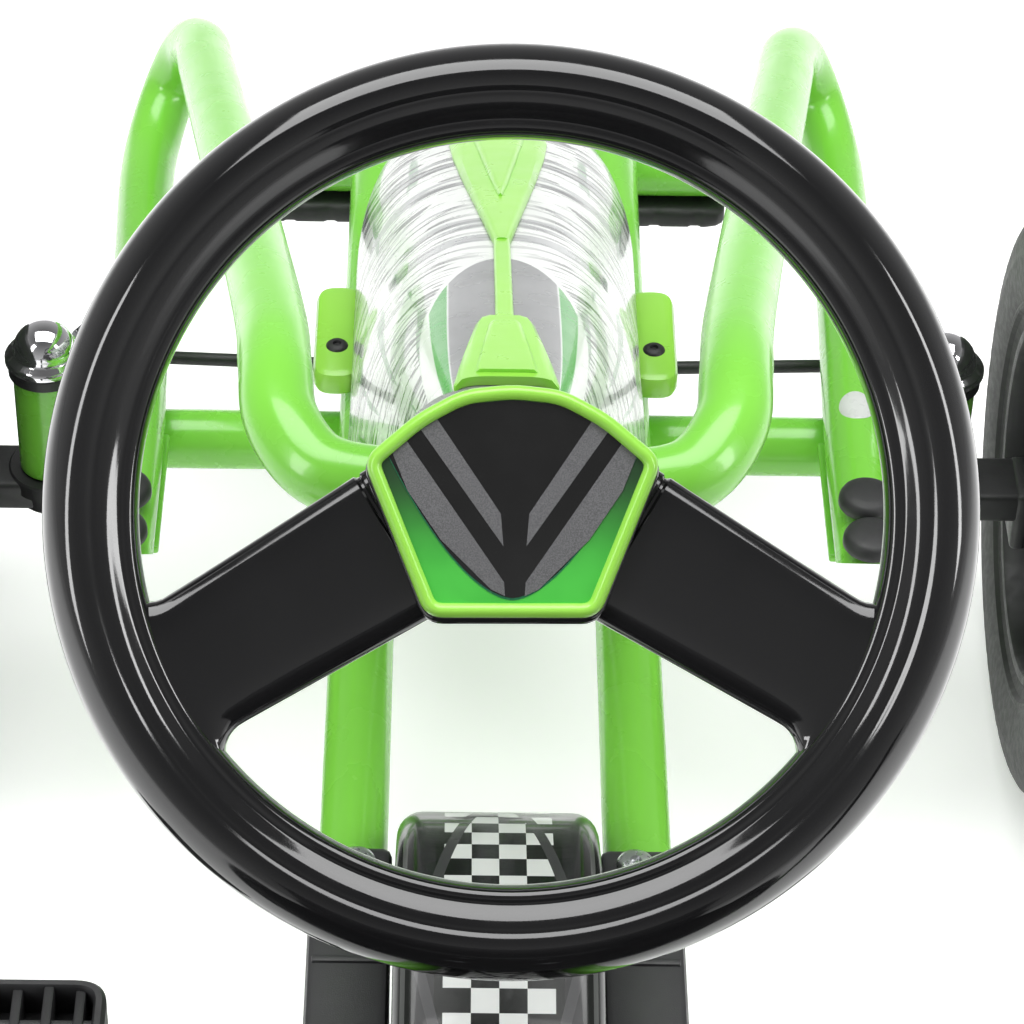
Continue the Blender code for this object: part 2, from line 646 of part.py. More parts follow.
def fairing_height(y, x):
    """Height of the surface x metres off the middle line."""
    power = fairing_power(y)
    share = min(1.0, (abs(x) / fairing_half_width(y)) ** (1.0 / power))
    climb = math.sqrt(1.0 - share * share) ** power
    return FAIRING_BASE + (spine_height(y) - FAIRING_BASE) * climb


def fairing_surface(y, turn):
    """Point on the fairing; turn goes from 0 at the right edge to pi at the left one."""
    climb = math.sin(turn)
    back = max(0.0, 1.0 - (y - FAIRING_REAR) / 0.2)
    y += FAIRING_SLANT * (1.0 - climb) * back
    power = fairing_power(y)
    x = fairing_half_width(y) * math.copysign(abs(math.cos(turn)) ** power, math.cos(turn))
    return x, STEER_Y + y, fairing_height(y, x)


def grid_shell(name, rows, thickness, offset, key):
    """Open surface through rows of points, thickened into a shell."""
    across = len(rows[0])
    points = [point for row in rows for point in row]
    faces = [(i * across + j, i * across + j + 1, (i + 1) * across + j + 1, (i + 1) * across + j)
             for i in range(len(rows) - 1) for j in range(across - 1)]
    data = bpy.data.meshes.new(name)
    data.from_pydata(points, [], faces)
    shell = add(name, data, key)
    solid = shell.modifiers.new("wall", "SOLIDIFY")
    solid.thickness = thickness
    solid.offset = offset
    solid.use_even_offset = False
    return smooth(baked(shell), 50.0)


def make_fairing():
    stations = [FAIRING_REAR, 0.160, 0.200, 0.245, 0.300, 0.360, 0.420, 0.465, 0.510, 0.545]
    turns = [math.pi * i / 10 for i in range(11)]
    rows = [[fairing_surface(y, turn) for turn in turns] for y in stations]
    grid_shell("fairing", rows, 0.0025, 1.0, "white_plastic")
    spine = []
    for y, half in ((0.128, 0.0178), (0.160, 0.0142), (0.196, 0.0097), (0.1985, 0.0032),
                    (0.250, 0.0032), (0.299, 0.0032), (0.345, 0.0088), (0.390, 0.0144),
                    (0.454, 0.0205), (0.4745, 0.0165)):
        spine.append([raised(y, half * (k / 2.0 - 1.0)) for k in range(5)])
    grid_shell("fairing_spine", spine, 0.003, 1.0, "green_plastic")
    for side, tag in ((-1, "left"), (1, "right")):
        low_x, high_x = sorted((side * 0.0590, side * 0.0740))
        box("fairing_tab_" + tag, (low_x, STEER_Y + 0.378, RAIL_Z + TUBE_R + GAP),
            (high_x, STEER_Y + 0.414, RAIL_Z + TUBE_R + 0.012), "green_plastic", 0.003, 2)


def raised(y, x):
    """Point just above the fairing, for the green strip along its crest."""
    step = 0.0005
    here = fairing_height(y, x)
    slope = (here - fairing_height(y, abs(x) + step)) / step
    return x, STEER_Y + y, here + SPINE_LIFT * math.hypot(1.0, slope)


# ---- seat ----
SEAT_LINE = [(-0.150, 0.250), (-0.170, 0.244), (-0.230, 0.236), (-0.300, 0.233),
             (-0.360, 0.238), (-0.405, 0.258), (-0.430, 0.300), (-0.445, 0.360),
             (-0.458, 0.430), (-0.472, 0.500), (-0.484, 0.545), (-0.500, 0.567)]


def make_seat():
    count = len(SEAT_LINE)
    rows = []
    for i, (y, z) in enumerate(SEAT_LINE):
        before = Vector(SEAT_LINE[max(0, i - 1)])
        after = Vector(SEAT_LINE[min(count - 1, i + 1)])
        tangent = (after - before).normalized()
        inward = Vector((-tangent.y, tangent.x)) * -1.0
        upper = max(0.0, (i - 7) / (count - 8))
        half = 0.168 - 0.050 * upper
        wing = 0.075 * math.sin(math.pi * min(1.0, (i + 0.6) / 9.0)) ** 0.7
        wing = max(wing, 0.018) if i < 9 else 0.020
        row = []
        for j in range(11):
            across = j / 5.0 - 1.0
            lift = wing * max(0.0, (abs(across) - 0.45) / 0.55) ** 1.8
            row.append((across * half, STEER_Y + y + inward.x * lift, z + inward.y * lift))
        rows.append(row)
    grid_shell("seat", rows, SEAT_WALL, 0.0, "seat_black")


def make_seat_bracket():
    """Channel that straddles the chain case and slides along the two rails."""
    foot = RAIL_Z + TUBE_R + GAP
    wall = 0.003
    reach = 0.064
    outline = [(-reach, foot), (-reach + 0.018, foot), (-reach + 0.018, BRACKET_TOP - wall),
               (reach - 0.018, BRACKET_TOP - wall), (reach - 0.018, foot), (reach, foot),
               (reach, foot + wall), (reach - 0.015, foot + wall),
               (reach - 0.015, BRACKET_TOP), (-reach + 0.015, BRACKET_TOP),
               (-reach + 0.015, foot + wall), (-reach, foot + wall)]
    length = BRACKET_Y[1] - BRACKET_Y[0]
    upright = Matrix(((1, 0, 0, 0), (0, 0, -1, 0), (0, 1, 0, 0), (0, 0, 0, 1)))
    middle = Matrix.Translation((0.0, sum(BRACKET_Y) / 2.0, 0.0))
    plate("seat_bracket", outline, length, middle @ upright, "matte_black")
    knob = [(0.0, 0.038), (0.012, 0.036), (0.0155, 0.031), (0.0155, 0.020), (0.012, 0.0165),
            (0.005, 0.0160), (0.005, 0.0), (0.0, 0.0)]
    wall_face = reach - 0.015 + GAP
    turned("seat_knob", knob, sideways(wall_face, BRACKET_Y[1] - 0.045, 0.2125), 16,
           "matte_black")


def make_brake():
    stay = rod("cut_stay", (RAIL_X + 0.0118, BRAKE_Y, RAIL_Z), (BRAKE_X - 0.0035, BRAKE_Y, RAIL_Z), 0.009,
               None, 16)
    join(bpy.data.objects["rail_right"], stay)
    pivot = Vector((BRAKE_X, BRAKE_Y, RAIL_Z))
    lever = box("brake_lever", (-0.003, -0.008, -0.012), (0.003, 0.008, BRAKE_LENGTH), "steel",
                0.001, 1)
    lever.data.transform(Matrix.Translation(pivot)
                         @ Matrix.Rotation(BRAKE_LEAN - math.pi / 2.0, 4, "X"))
    tail = box("cut_tail", (-0.003, -0.007, -0.005), (0.003, 0.007, SHOE_REACH + 0.006), None)
    tail.data.transform(Matrix.Translation(pivot)
                        @ Matrix.Rotation(SHOE_ANGLE - math.pi / 2.0, 4, "X"))
    shoe = box("cut_shoe", (-0.003, -0.0045, SHOE_REACH - 0.005),
               (0.066, 0.0045, SHOE_REACH + 0.005), None)
    shoe.data.transform(Matrix.Translation(pivot)
                        @ Matrix.Rotation(SHOE_ANGLE - math.pi / 2.0, 4, "X"))
    join(lever, tail, shoe)
    direction = Vector((0.0, math.cos(BRAKE_LEAN), math.sin(BRAKE_LEAN)))
    tip = pivot + direction * (BRAKE_LENGTH + 0.010)
    root = pivot + direction * (BRAKE_LENGTH - 0.090)
    grip = rod("brake_grip", root, tip, 0.0125, "matte_black", 20)
    core = box("cut_core", (-0.0033, -0.0083, -0.02), (0.0033, 0.0083, BRAKE_LENGTH + GAP), None)
    core.data.transform(Matrix.Translation(pivot)
                        @ Matrix.Rotation(BRAKE_LEAN - math.pi / 2.0, 4, "X"))
    cut(grip, core)


make_frame()
make_steering_wheel()
make_column()
make_knuckle(-1, "left")
make_knuckle(1, "right")
for end_y, end_name in ((FRONT_AXLE_Y, "front"), (REAR_AXLE_Y, "rear")):
    make_wheel(-1, end_y, end_name + "_left")
    make_wheel(1, end_y, end_name + "_right")
make_chain_case()
make_drive()
make_fairing()
make_seat()
make_seat_bracket()
make_brake()
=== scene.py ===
"""Looks of the pedal go kart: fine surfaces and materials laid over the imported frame.

Metres, +Y forwards, +X to the driver's right, +Z up, ground at z = 0.
"""

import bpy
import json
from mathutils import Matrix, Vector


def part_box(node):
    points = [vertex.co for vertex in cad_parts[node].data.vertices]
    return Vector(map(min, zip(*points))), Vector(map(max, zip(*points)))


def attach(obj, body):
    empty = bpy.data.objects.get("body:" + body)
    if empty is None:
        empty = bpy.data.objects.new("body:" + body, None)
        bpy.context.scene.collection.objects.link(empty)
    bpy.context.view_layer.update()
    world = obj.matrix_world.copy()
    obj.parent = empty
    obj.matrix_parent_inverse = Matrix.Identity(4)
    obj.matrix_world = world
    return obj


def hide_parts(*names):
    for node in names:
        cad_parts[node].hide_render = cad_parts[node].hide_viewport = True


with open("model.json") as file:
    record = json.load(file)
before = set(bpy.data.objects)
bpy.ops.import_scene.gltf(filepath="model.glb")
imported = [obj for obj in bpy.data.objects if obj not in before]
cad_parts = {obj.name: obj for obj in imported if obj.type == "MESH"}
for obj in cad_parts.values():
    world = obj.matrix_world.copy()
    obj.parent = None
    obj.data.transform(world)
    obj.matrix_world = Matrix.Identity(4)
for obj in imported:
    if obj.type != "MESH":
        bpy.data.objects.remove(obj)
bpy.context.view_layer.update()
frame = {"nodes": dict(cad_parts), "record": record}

import json
import math

import bmesh
import bpy
from mathutils import Matrix, Vector

TAU = 2.0 * math.pi
MM = 0.001
JOINTS = {joint["name"]: joint for joint in frame["record"]["behaviour"]["joints"]}
SIDES = ((-1, "left"), (1, "right"))
ON_EDGE = Matrix(((0, 0, 1, 0), (1, 0, 0, 0), (0, 1, 0, 0), (0, 0, 0, 1)))  # outline in Y and Z
MIX_A, MIX_B, MIX_RESULT = 6, 7, 2      # where a Mix node keeps its colour sockets


def joint_at(name):
    return Vector(JOINTS[name]["pos_m"])


# ---- places read from the frame ----
WHEEL_AT = joint_at("steering_turn")
TO_DRIVER = Vector(JOINTS["steering_turn"]["axis"]).normalized()
ACROSS = Vector((1.0, 0.0, 0.0))
UP_FACE = TO_DRIVER.cross(ACROSS)
FRONT_AXLE = joint_at("wheel_front_right_spin")
REAR_AXLE = joint_at("rear_axle_spin")
CRANK = joint_at("crank_spin")
RAIL_LOW, RAIL_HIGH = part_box("rail_left")
TUBE_R = (RAIL_HIGH[2] - RAIL_LOW[2]) / 2.0
RAIL_X = -(RAIL_LOW[0] + RAIL_HIGH[0]) / 2.0
RAIL_Z = (RAIL_LOW[2] + RAIL_HIGH[2]) / 2.0
BEAM_LOW, BEAM_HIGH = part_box("front_axle_beam")
BEAM_Z = (BEAM_LOW[2] + BEAM_HIGH[2]) / 2.0
CROSS_LOW, CROSS_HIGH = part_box("front_crossmember")
CROSS_Y = (CROSS_LOW[1] + CROSS_HIGH[1]) / 2.0


# ---- camera ----
def make_camera():
    """Straight down the steering column, from the driver's head."""
    distance = 1.107
    sideways = -0.019
    roll = math.radians(1.6)
    eye = WHEEL_AT + TO_DRIVER * distance + ACROSS * sideways
    data = bpy.data.cameras.new("camera")
    data.lens = 130.6
    data.sensor_width = 36.0
    camera = bpy.data.objects.new("camera", data)
    aim = (WHEEL_AT - eye).to_track_quat("-Z", "Y").to_matrix().to_4x4()
    camera.matrix_world = Matrix.Translation(eye) @ aim @ Matrix.Rotation(roll, 4, "Z")
    bpy.context.scene.collection.objects.link(camera)
    bpy.context.scene.camera = camera


# ---- material nodes ----
class Nodes:
    """A small hand for building a Principled material."""

    def __init__(self, name):
        self.material = bpy.data.materials.new(name)
        self.material.use_nodes = True
        self.tree = self.material.node_tree
        self.shader = self.tree.nodes["Principled BSDF"]
        self.places = self.add("ShaderNodeTexCoord")
        self.object = self.places.outputs["Object"]

    def add(self, kind, **settings):
        node = self.tree.nodes.new(kind)
        for key, value in settings.items():
            setattr(node, key, value)
        return node

    def link(self, source, target):
        self.tree.links.new(source, target)

    def feed(self, socket, value):
        if isinstance(value, bpy.types.NodeSocket):
            self.link(value, socket)
        else:
            socket.default_value = value

    def set(self, **values):
        for key, value in values.items():
            self.feed(self.shader.inputs[key.replace("_", " ")], value)

    def noise(self, scale, detail=2.0, vector=None, rough=0.5, distortion=0.0):
        node = self.add("ShaderNodeTexNoise")
        node.inputs["Scale"].default_value = scale
        node.inputs["Detail"].default_value = detail
        node.inputs["Roughness"].default_value = rough
        node.inputs["Distortion"].default_value = distortion
        self.link(vector or self.object, node.inputs["Vector"])
        return node.outputs["Fac"]

    def span(self, value, low, high, out_low=0.0, out_high=1.0):
        node = self.add("ShaderNodeMapRange")
        node.interpolation_type = "SMOOTHSTEP"
        self.link(value, node.inputs["Value"])
        for key, number in (("From Min", low), ("From Max", high), ("To Min", out_low),
                            ("To Max", out_high)):
            node.inputs[key].default_value = number
        return node.outputs["Result"]

    def maths(self, operation, first, second=0.0, third=0.0):
        node = self.add("ShaderNodeMath", operation=operation)
        for socket, value in zip(node.inputs, (first, second, third)):
            self.feed(socket, value)
        return node.outputs["Value"]

    def blend(self, share, first, second):
        node = self.add("ShaderNodeMix", data_type="RGBA")
        self.feed(node.inputs["Factor"], share)
        self.feed(node.inputs[MIX_A], first)
        self.feed(node.inputs[MIX_B], second)
        return node.outputs[MIX_RESULT]

    def stretched(self, scale, turn=(0.0, 0.0, 0.0), vector=None):
        node = self.add("ShaderNodeMapping")
        node.inputs["Scale"].default_value = scale
        node.inputs["Rotation"].default_value = turn
        self.link(vector or self.object, node.inputs["Vector"])
        return node.outputs["Vector"]

    def axes(self, vector=None):
        node = self.add("ShaderNodeSeparateXYZ")
        self.link(vector or self.object, node.inputs[0])
        return node.outputs

    def shades(self, scale, detail, first, second, low=0.35, high=0.65):
        """Two close shades in soft clouds."""
        return self.blend(self.span(self.noise(scale, detail), low, high), first, second)

    def finish(self, scale, detail, low, high, grain, depth, distance=0.0004, coat=0.0):
        """Wandering roughness, a fine grain and a constant clear coat; gives the material."""
        self.set(Roughness=self.span(self.noise(scale, detail), 0.3, 0.7, low, high))
        self.set(Normal=self.bump(grain, depth, distance))
        self.set(Coat_Weight=coat)
        return self.material

    def bump(self, height, strength, distance, after=None):
        node = self.add("ShaderNodeBump")
        node.inputs["Strength"].default_value = strength
        node.inputs["Distance"].default_value = distance
        self.link(height, node.inputs["Height"])
        if after is not None:
            self.link(after, node.inputs["Normal"])
        return node.outputs["Normal"]


def rgba(red, green, blue):
    return (red, green, blue, 1.0)


def surface(name, light, dark, roughness, grain=(900.0, 0.05), cloud=9.0, metallic=0.0,
            coat=0.0, spread=0.05, peel=0.0):
    """Two close shades in soft clouds, a fine grain, and roughness that wanders a little."""
    make = Nodes(name)
    make.set(Base_Color=make.shades(cloud, 3.0, rgba(*dark), rgba(*light)))
    wander = make.noise(cloud * 6.0, 4.0)
    make.set(Roughness=make.span(wander, 0.3, 0.7, roughness - spread, roughness + spread))
    make.set(Metallic=metallic, Coat_Weight=coat, Coat_Roughness=0.06)
    grain_scale, grain_depth = grain
    normal = make.bump(make.noise(grain_scale, 2.0), grain_depth, 0.0006)
    if peel:
        normal = make.bump(make.noise(160.0, 1.0), peel, 0.0008, normal)
    make.set(Normal=normal)
    return make.material


GREEN = (0.215, 0.630, 0.062)
GREEN_DEEP = (0.198, 0.600, 0.055)
TRIM = (0.300, 0.670, 0.075)
TRIM_DEEP = (0.280, 0.645, 0.068)

LOOKS = (
    ("green_paint", GREEN, GREEN_DEEP, 0.27, (3000.0, 0.010), 7.0, 0.0, 0.35, 0.03),
    ("green_plastic", TRIM, TRIM_DEEP, 0.30, (3000.0, 0.012), 12.0, 0.0, 0.25, 0.03),
    ("gloss_black", (0.0085, 0.0085, 0.009), (0.006, 0.006, 0.0065), 0.10, (2600.0, 0.012), 14.0,
     0.0, 0.6, 0.03, 0.008),
    ("matte_black", (0.022, 0.022, 0.023), (0.015, 0.015, 0.016), 0.48, (3200.0, 0.20), 30.0,
     0.0, 0.0, 0.07),
    ("dark_grey", (0.040, 0.040, 0.042), (0.031, 0.031, 0.033), 0.42, (2400.0, 0.16), 25.0,
     0.0, 0.0, 0.06),
    ("tyre_black", (0.020, 0.020, 0.0205), (0.014, 0.014, 0.0145), 0.55, (3200.0, 0.10), 45.0,
     0.0, 0.0, 0.06),
    ("chrome", (0.88, 0.88, 0.89), (0.80, 0.80, 0.82), 0.07, (900.0, 0.02), 40.0, 1.0, 0.0, 0.03),
    ("steel", (0.62, 0.63, 0.64), (0.48, 0.49, 0.51), 0.30, (1500.0, 0.10), 60.0, 1.0, 0.0, 0.09),
    ("seat_black", (0.024, 0.024, 0.026), (0.017, 0.017, 0.018), 0.44, (1100.0, 0.45), 22.0,
     0.0, 0.0, 0.06),
    ("rubber_grip", (0.018, 0.018, 0.018), (0.012, 0.012, 0.012), 0.60, (2200.0, 0.30), 60.0,
     0.0, 0.0, 0.08),
    ("label_white", (0.66, 0.68, 0.66), (0.58, 0.60, 0.58), 0.30, (2500.0, 0.03), 50.0),
    ("shield_black", (0.010, 0.010, 0.010), (0.007, 0.007, 0.007), 0.20, (3000.0, 0.02), 20.0,
     0.0, 0.5),
    ("shield_edge", (0.012, 0.150, 0.060), (0.010, 0.110, 0.050), 0.25, (2500.0, 0.03), 60.0,
     0.0, 0.5),
)
MATERIALS = {look[0]: surface(*look) for look in LOOKS}


def make_stripe_grey():
    """Grey foil with a fine sparkle."""
    make = Nodes("stripe_grey")
    speck = make.noise(2600.0, 1.0)
    make.set(Base_Color=make.blend(make.span(speck, 0.30, 0.70), rgba(0.085, 0.085, 0.088),
                                   rgba(0.150, 0.150, 0.155)))
    make.set(Roughness=make.span(speck, 0.3, 0.7, 0.28, 0.42), Coat_Weight=0.4)
    make.set(Normal=make.bump(speck, 0.05, 0.0003))
    return make.material


def make_hub_green():
    """Clear green over black: darker towards the top of the cover."""
    make = Nodes("hub_green")
    fade = make.span(make.axes()[1], -0.022, 0.012)
    shade = make.shades(60.0, 2.0, rgba(0.055, 0.430, 0.050), rgba(0.070, 0.500, 0.060), 0.3, 0.7)
    make.set(Base_Color=make.blend(fade, shade, rgba(0.020, 0.060, 0.022)))
    return make.finish(90.0, 3.0, 0.12, 0.20, make.noise(1500.0), 0.02, coat=0.5)


MATERIALS["stripe_grey"] = make_stripe_grey()
MATERIALS["hub_green"] = make_hub_green()


def piece(name, bm, key, body, nodes=(), angle=40.0, matrix=None):
    """Turn a bmesh into a piece that rides on a body and stands for CAD nodes."""
    bmesh.ops.remove_doubles(bm, verts=bm.verts, dist=0.000002)
    bmesh.ops.recalc_face_normals(bm, faces=bm.faces)
    data = bpy.data.meshes.new(name)
    bm.to_mesh(data)
    bm.free()
    data.shade_smooth()
    data.set_sharp_from_angle(angle=math.radians(angle))
    made = bpy.data.objects.new(name, data)
    made.matrix_world = matrix or Matrix.Identity(4)
    bpy.context.scene.collection.objects.link(made)
    data.materials.append(MATERIALS[key] if isinstance(key, str) else key)
    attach(made, body)
    if nodes:
        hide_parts(*nodes)
    return made


def on_circle(radius, turn, height=0.0):
    return Vector((radius * math.cos(turn), radius * math.sin(turn), height))


def ring_round(centre, side, up, reach, sides):
    """A ring of points about a centre, in the plane of two directions."""
    turns = [TAU * k / sides for k in range(sides)]
    return [centre + (side * math.cos(turn) + up * math.sin(turn)) * reach for turn in turns]


def smooth_path(points, samples, closed=False):
    """Catmull-Rom samples through the points."""
    knots = [Vector(point) for point in points]
    if closed:
        knots = [knots[-1]] + knots + knots[:2]
    else:
        knots = [2 * knots[0] - knots[1]] + knots + [2 * knots[-1] - knots[-2]]
    path = []
    for a, b, c, d in zip(knots, knots[1:], knots[2:], knots[3:]):
        for step in range(samples):
            t = step / samples
            path.append(0.5 * (2 * b + (c - a) * t + (2 * a - 5 * b + 4 * c - d) * t * t
                               + (3 * b - a - 3 * c + d) * t ** 3))
    if not closed:
        path.append(knots[-2])
    return path


def skin(bm, rings, round_ring=True, closed=False, caps=True):
    """Quads between rings of points; a one-point ring becomes a tip."""
    made = [[bm.verts.new(point) for point in ring] for ring in rings]
    pairs = list(zip(made, made[1:]))
    if closed:
        pairs.append((made[-1], made[0]))
    for first, second in pairs:
        count = max(len(first), len(second))
        for i in range(count if round_ring else count - 1):
            j = (i + 1) % count
            corners = [first[i % len(first)], first[j % len(first)], second[j % len(second)],
                       second[i % len(second)]]
            loop = list(dict.fromkeys(corners))
            if len(loop) > 2:
                bm.faces.new(loop)
    if caps and not closed and round_ring:
        for ring in (made[0], made[-1]):
            if len(ring) > 2:
                bm.faces.new(ring)
    return made


def frames_along(path, closed=False):
    """Side and up vectors carried along a path without twisting."""
    count = len(path)
    tangents = []
    for i in range(count):
        before = path[i - 1] if closed or i > 0 else path[0]
        after = path[(i + 1) % count] if closed or i < count - 1 else path[-1]
        tangents.append((after - before).normalized())
    side = tangents[0].orthogonal().normalized()
    result = []
    for tangent in tangents:
        side = (side - tangent * side.dot(tangent)).normalized()
        result.append((side.copy(), tangent.cross(side)))
    return result


def tube_rings(path, radius, sides=28, edge=0.0012):
    """Rings of a round tube whose two ends have a small round edge."""
    axes = frames_along(path)
    count = len(path)
    stations = []
    first, last = path[1] - path[0], path[-2] - path[-1]
    stations.append((path[0], axes[0], radius - edge))
    stations.append((path[0] + first.normalized() * edge * 0.3, axes[0], radius - edge * 0.3))
    stations.append((path[0] + first.normalized() * edge, axes[0], radius))
    for i in range(1, count - 1):
        stations.append((path[i], axes[i], radius))
    stations.append((path[-1] + last.normalized() * edge, axes[-1], radius))
    stations.append((path[-1] + last.normalized() * edge * 0.3, axes[-1], radius - edge * 0.3))
    stations.append((path[-1], axes[-1], radius - edge))
    return [ring_round(centre, side, up, reach, sides) for centre, (side, up), reach in stations]


def add_tube(bm, path, radius, sides=28, edge=0.0012):
    skin(bm, tube_rings([Vector(point) for point in path], radius, sides, edge))


def lathe(bm, profile, matrix, steps=48, closed=False):
    """Turn a profile of (radius, height) about the matrix's +Z."""
    rings = []
    for radius, height in profile:
        if radius < 1e-6:
            rings.append([matrix @ Vector((0.0, 0.0, height))])
        else:
            rings.append([matrix @ on_circle(radius, TAU * k / steps, height)
                          for k in range(steps)])
    skin(bm, rings, closed=closed, caps=False)


def turned(name, profile, matrix, key, body, nodes=(), steps=48, closed=False):
    """A piece made of one turned profile."""
    bm = bmesh.new()
    lathe(bm, profile, matrix, steps, closed)
    return piece(name, bm, key, body, nodes)


def rounded(points, radius, segments=5):
    """A closed outline with its corners turned into arcs."""
    loop = [Vector(point) for point in points]
    result = []
    count = len(loop)
    for i, corner in enumerate(loop):
        back = loop[i - 1] - corner
        ahead = loop[(i + 1) % count] - corner
        reach = min(radius, back.length * 0.45, ahead.length * 0.45)
        start = corner + back.normalized() * reach
        end = corner + ahead.normalized() * reach
        for k in range(segments + 1):
            t = k / segments
            result.append(start * (1 - t) ** 2 + corner * 2 * t * (1 - t) + end * t * t)
    return result


def scaled_in(outline, distance):
    """The outline moved inwards by a distance (outline runs anticlockwise)."""
    count = len(outline)
    result = []
    for i in range(count):
        before = outline[i] - outline[i - 1]
        after = outline[(i + 1) % count] - outline[i]
        normal = Vector((-(before.y + after.y), before.x + after.x)).normalized()
        result.append(outline[i] + normal * distance)
    return result


def add_prism(bm, outline, low, high, matrix, edge=0.0006, both=True):
    """An outline raised from low to high, with rounded upper (and lower) edges."""
    outline = [Vector(point) for point in outline]
    area = sum(a.x * b.y - b.x * a.y for a, b in zip(outline, outline[1:] + outline[:1]))
    if area < 0:
        outline.reverse()
    levels = []
    if both:
        levels += [(low, edge), (low + edge * 0.3, edge * 0.3)]
    levels += [(low + (edge if both else 0.0), 0.0), (high - edge, 0.0),
               (high - edge * 0.3, edge * 0.3), (high, edge)]
    rings = []
    for height, inset in levels:
        loop = scaled_in(outline, inset) if inset else outline
        rings.append([matrix @ Vector((p.x, p.y, height)) for p in loop])
    skin(bm, rings)


def add_box(bm, low, high, edge=0.002, segments=3, matrix=None):
    """A box with rounded edges."""
    low, high = Vector(low), Vector(high)
    made = bmesh.ops.create_cube(bm, size=1.0)["verts"]
    bmesh.ops.scale(bm, vec=high - low, verts=made)
    bmesh.ops.translate(bm, vec=(low + high) / 2.0, verts=made)
    edges = list(dict.fromkeys(line for vert in made for line in vert.link_edges))
    result = bmesh.ops.bevel(bm, geom=edges, offset=edge, segments=segments, affect="EDGES",
                             profile=0.5)
    if matrix is not None:
        verts = {vert for face in result["faces"] for vert in face.verts}
        bmesh.ops.transform(bm, matrix=matrix, verts=list(verts))


def along(start, end):
    """Matrix whose +Z runs from start to end, with its origin at start."""
    start, end = Vector(start), Vector(end)
    turn = (end - start).to_track_quat("Z", "Y")
    return Matrix.Translation(start) @ turn.to_matrix().to_4x4()


def facing(x, y, z, direction):
    """Matrix at a place whose +Z points the given way."""
    spot = Vector((x, y, z))
    return along(spot, spot + Vector(direction))


def hexagon(across):
    radius = across / math.sqrt(3.0)
    return [on_circle(radius, TAU * k / 6).to_2d() for k in range(6)]


def add_bolt(bm, matrix, across=0.010, height=0.005, washer=True):
    """Hexagon head with a chamfered top on a round washer."""
    base = 0.0
    if washer:
        reach = across * 0.85
        lathe(bm, [(0.0, 0.0012), (reach - 0.0004, 0.0012), (reach, 0.0008), (reach, 0.0),
                   (0.0, 0.0)], matrix, 32)
        base = 0.0012
    rings = [[matrix @ Vector((x, y, base)) for x, y in hexagon(across)]]
    rings.append([matrix @ Vector((x, y, base + height - 0.0008)) for x, y in hexagon(across)])
    rings.append([matrix @ Vector((x, y, base + height)) for x, y in hexagon(across * 0.84)])
    skin(bm, rings)
    lathe(bm, [(0.0, base + height + 0.0016), (across * 0.22, base + height + 0.0014),
               (across * 0.28, base + height + 0.0006), (across * 0.28, base + height - 0.0002)],
          matrix, 20)


def add_weld(bm, matrix, radius, bead=0.0022, ripples=26, sides=8, steps=104):
    """A rippled ring of weld about the matrix's +Z."""
    rings = []
    for k in range(steps):
        turn = TAU * k / steps
        swell = 1.0 + 0.16 * abs(math.sin(turn * ripples / 2.0))
        centre = on_circle(radius, turn)
        ring = ring_round(centre, centre.normalized(), Vector((0, 0, 1)), bead * swell, sides)
        rings.append([matrix @ point for point in ring])
    skin(bm, rings, closed=True)


def wheel_frame(t=0.0):
    """Steering wheel frame: X right, Y up the wheel's face, Z towards the driver."""
    turned_frame = Matrix((ACROSS, UP_FACE, TO_DRIVER)).transposed().to_4x4()
    return Matrix.Translation(WHEEL_AT - TO_DRIVER * t) @ turned_frame


def column(t, reach=0.0, x=0.0):
    return WHEEL_AT - TO_DRIVER * t + UP_FACE * reach + ACROSS * x


# ---- frame ----
RAIL_FRONT_Y, RAIL_REAR_Y = RAIL_HIGH[1], RAIL_LOW[1]
SLEEVE_LOW, SLEEVE_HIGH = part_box("kingpin_sleeve_right")
KINGPIN_X = (SLEEVE_LOW[0] + SLEEVE_HIGH[0]) / 2.0
SLEEVE_R = (SLEEVE_HIGH[0] - SLEEVE_LOW[0]) / 2.0
BRAKE_PIVOT = joint_at("brake_pull")
HOOP_AHEAD = [(0.040, 0.0955, 0.3842), (0.062, 0.1010, 0.3860), (0.075, 0.1200, 0.3910),
              (0.0785, 0.1500, 0.3895), (0.083, 0.200, 0.373), (0.101, 0.340, 0.3185),
              (0.122, 0.4965, 0.2575), (0.130, 0.556, 0.2345), (0.1355, 0.598, 0.217),
              (0.1435, 0.6265, 0.197), (0.1535, 0.6305, 0.172), (0.1605, 0.606, 0.158),
              (0.1615, 0.570, 0.158), (0.158, 0.500, 0.1665), (0.154, 0.430, 0.1795),
              (0.1515, 0.384, 0.1870), (0.150, 0.340, 0.1900), (0.1495, 0.256, 0.1925)]
HOOP_END_X, HOOP_END_Y = 0.130, 0.260       # the rear end's cut lies outside and ahead of these
MITRE_SLOPE = 1.15


def straight(start, end, count=8):
    start, end = Vector(start), Vector(end)
    return [start.lerp(end, k / count) for k in range(count + 1)]


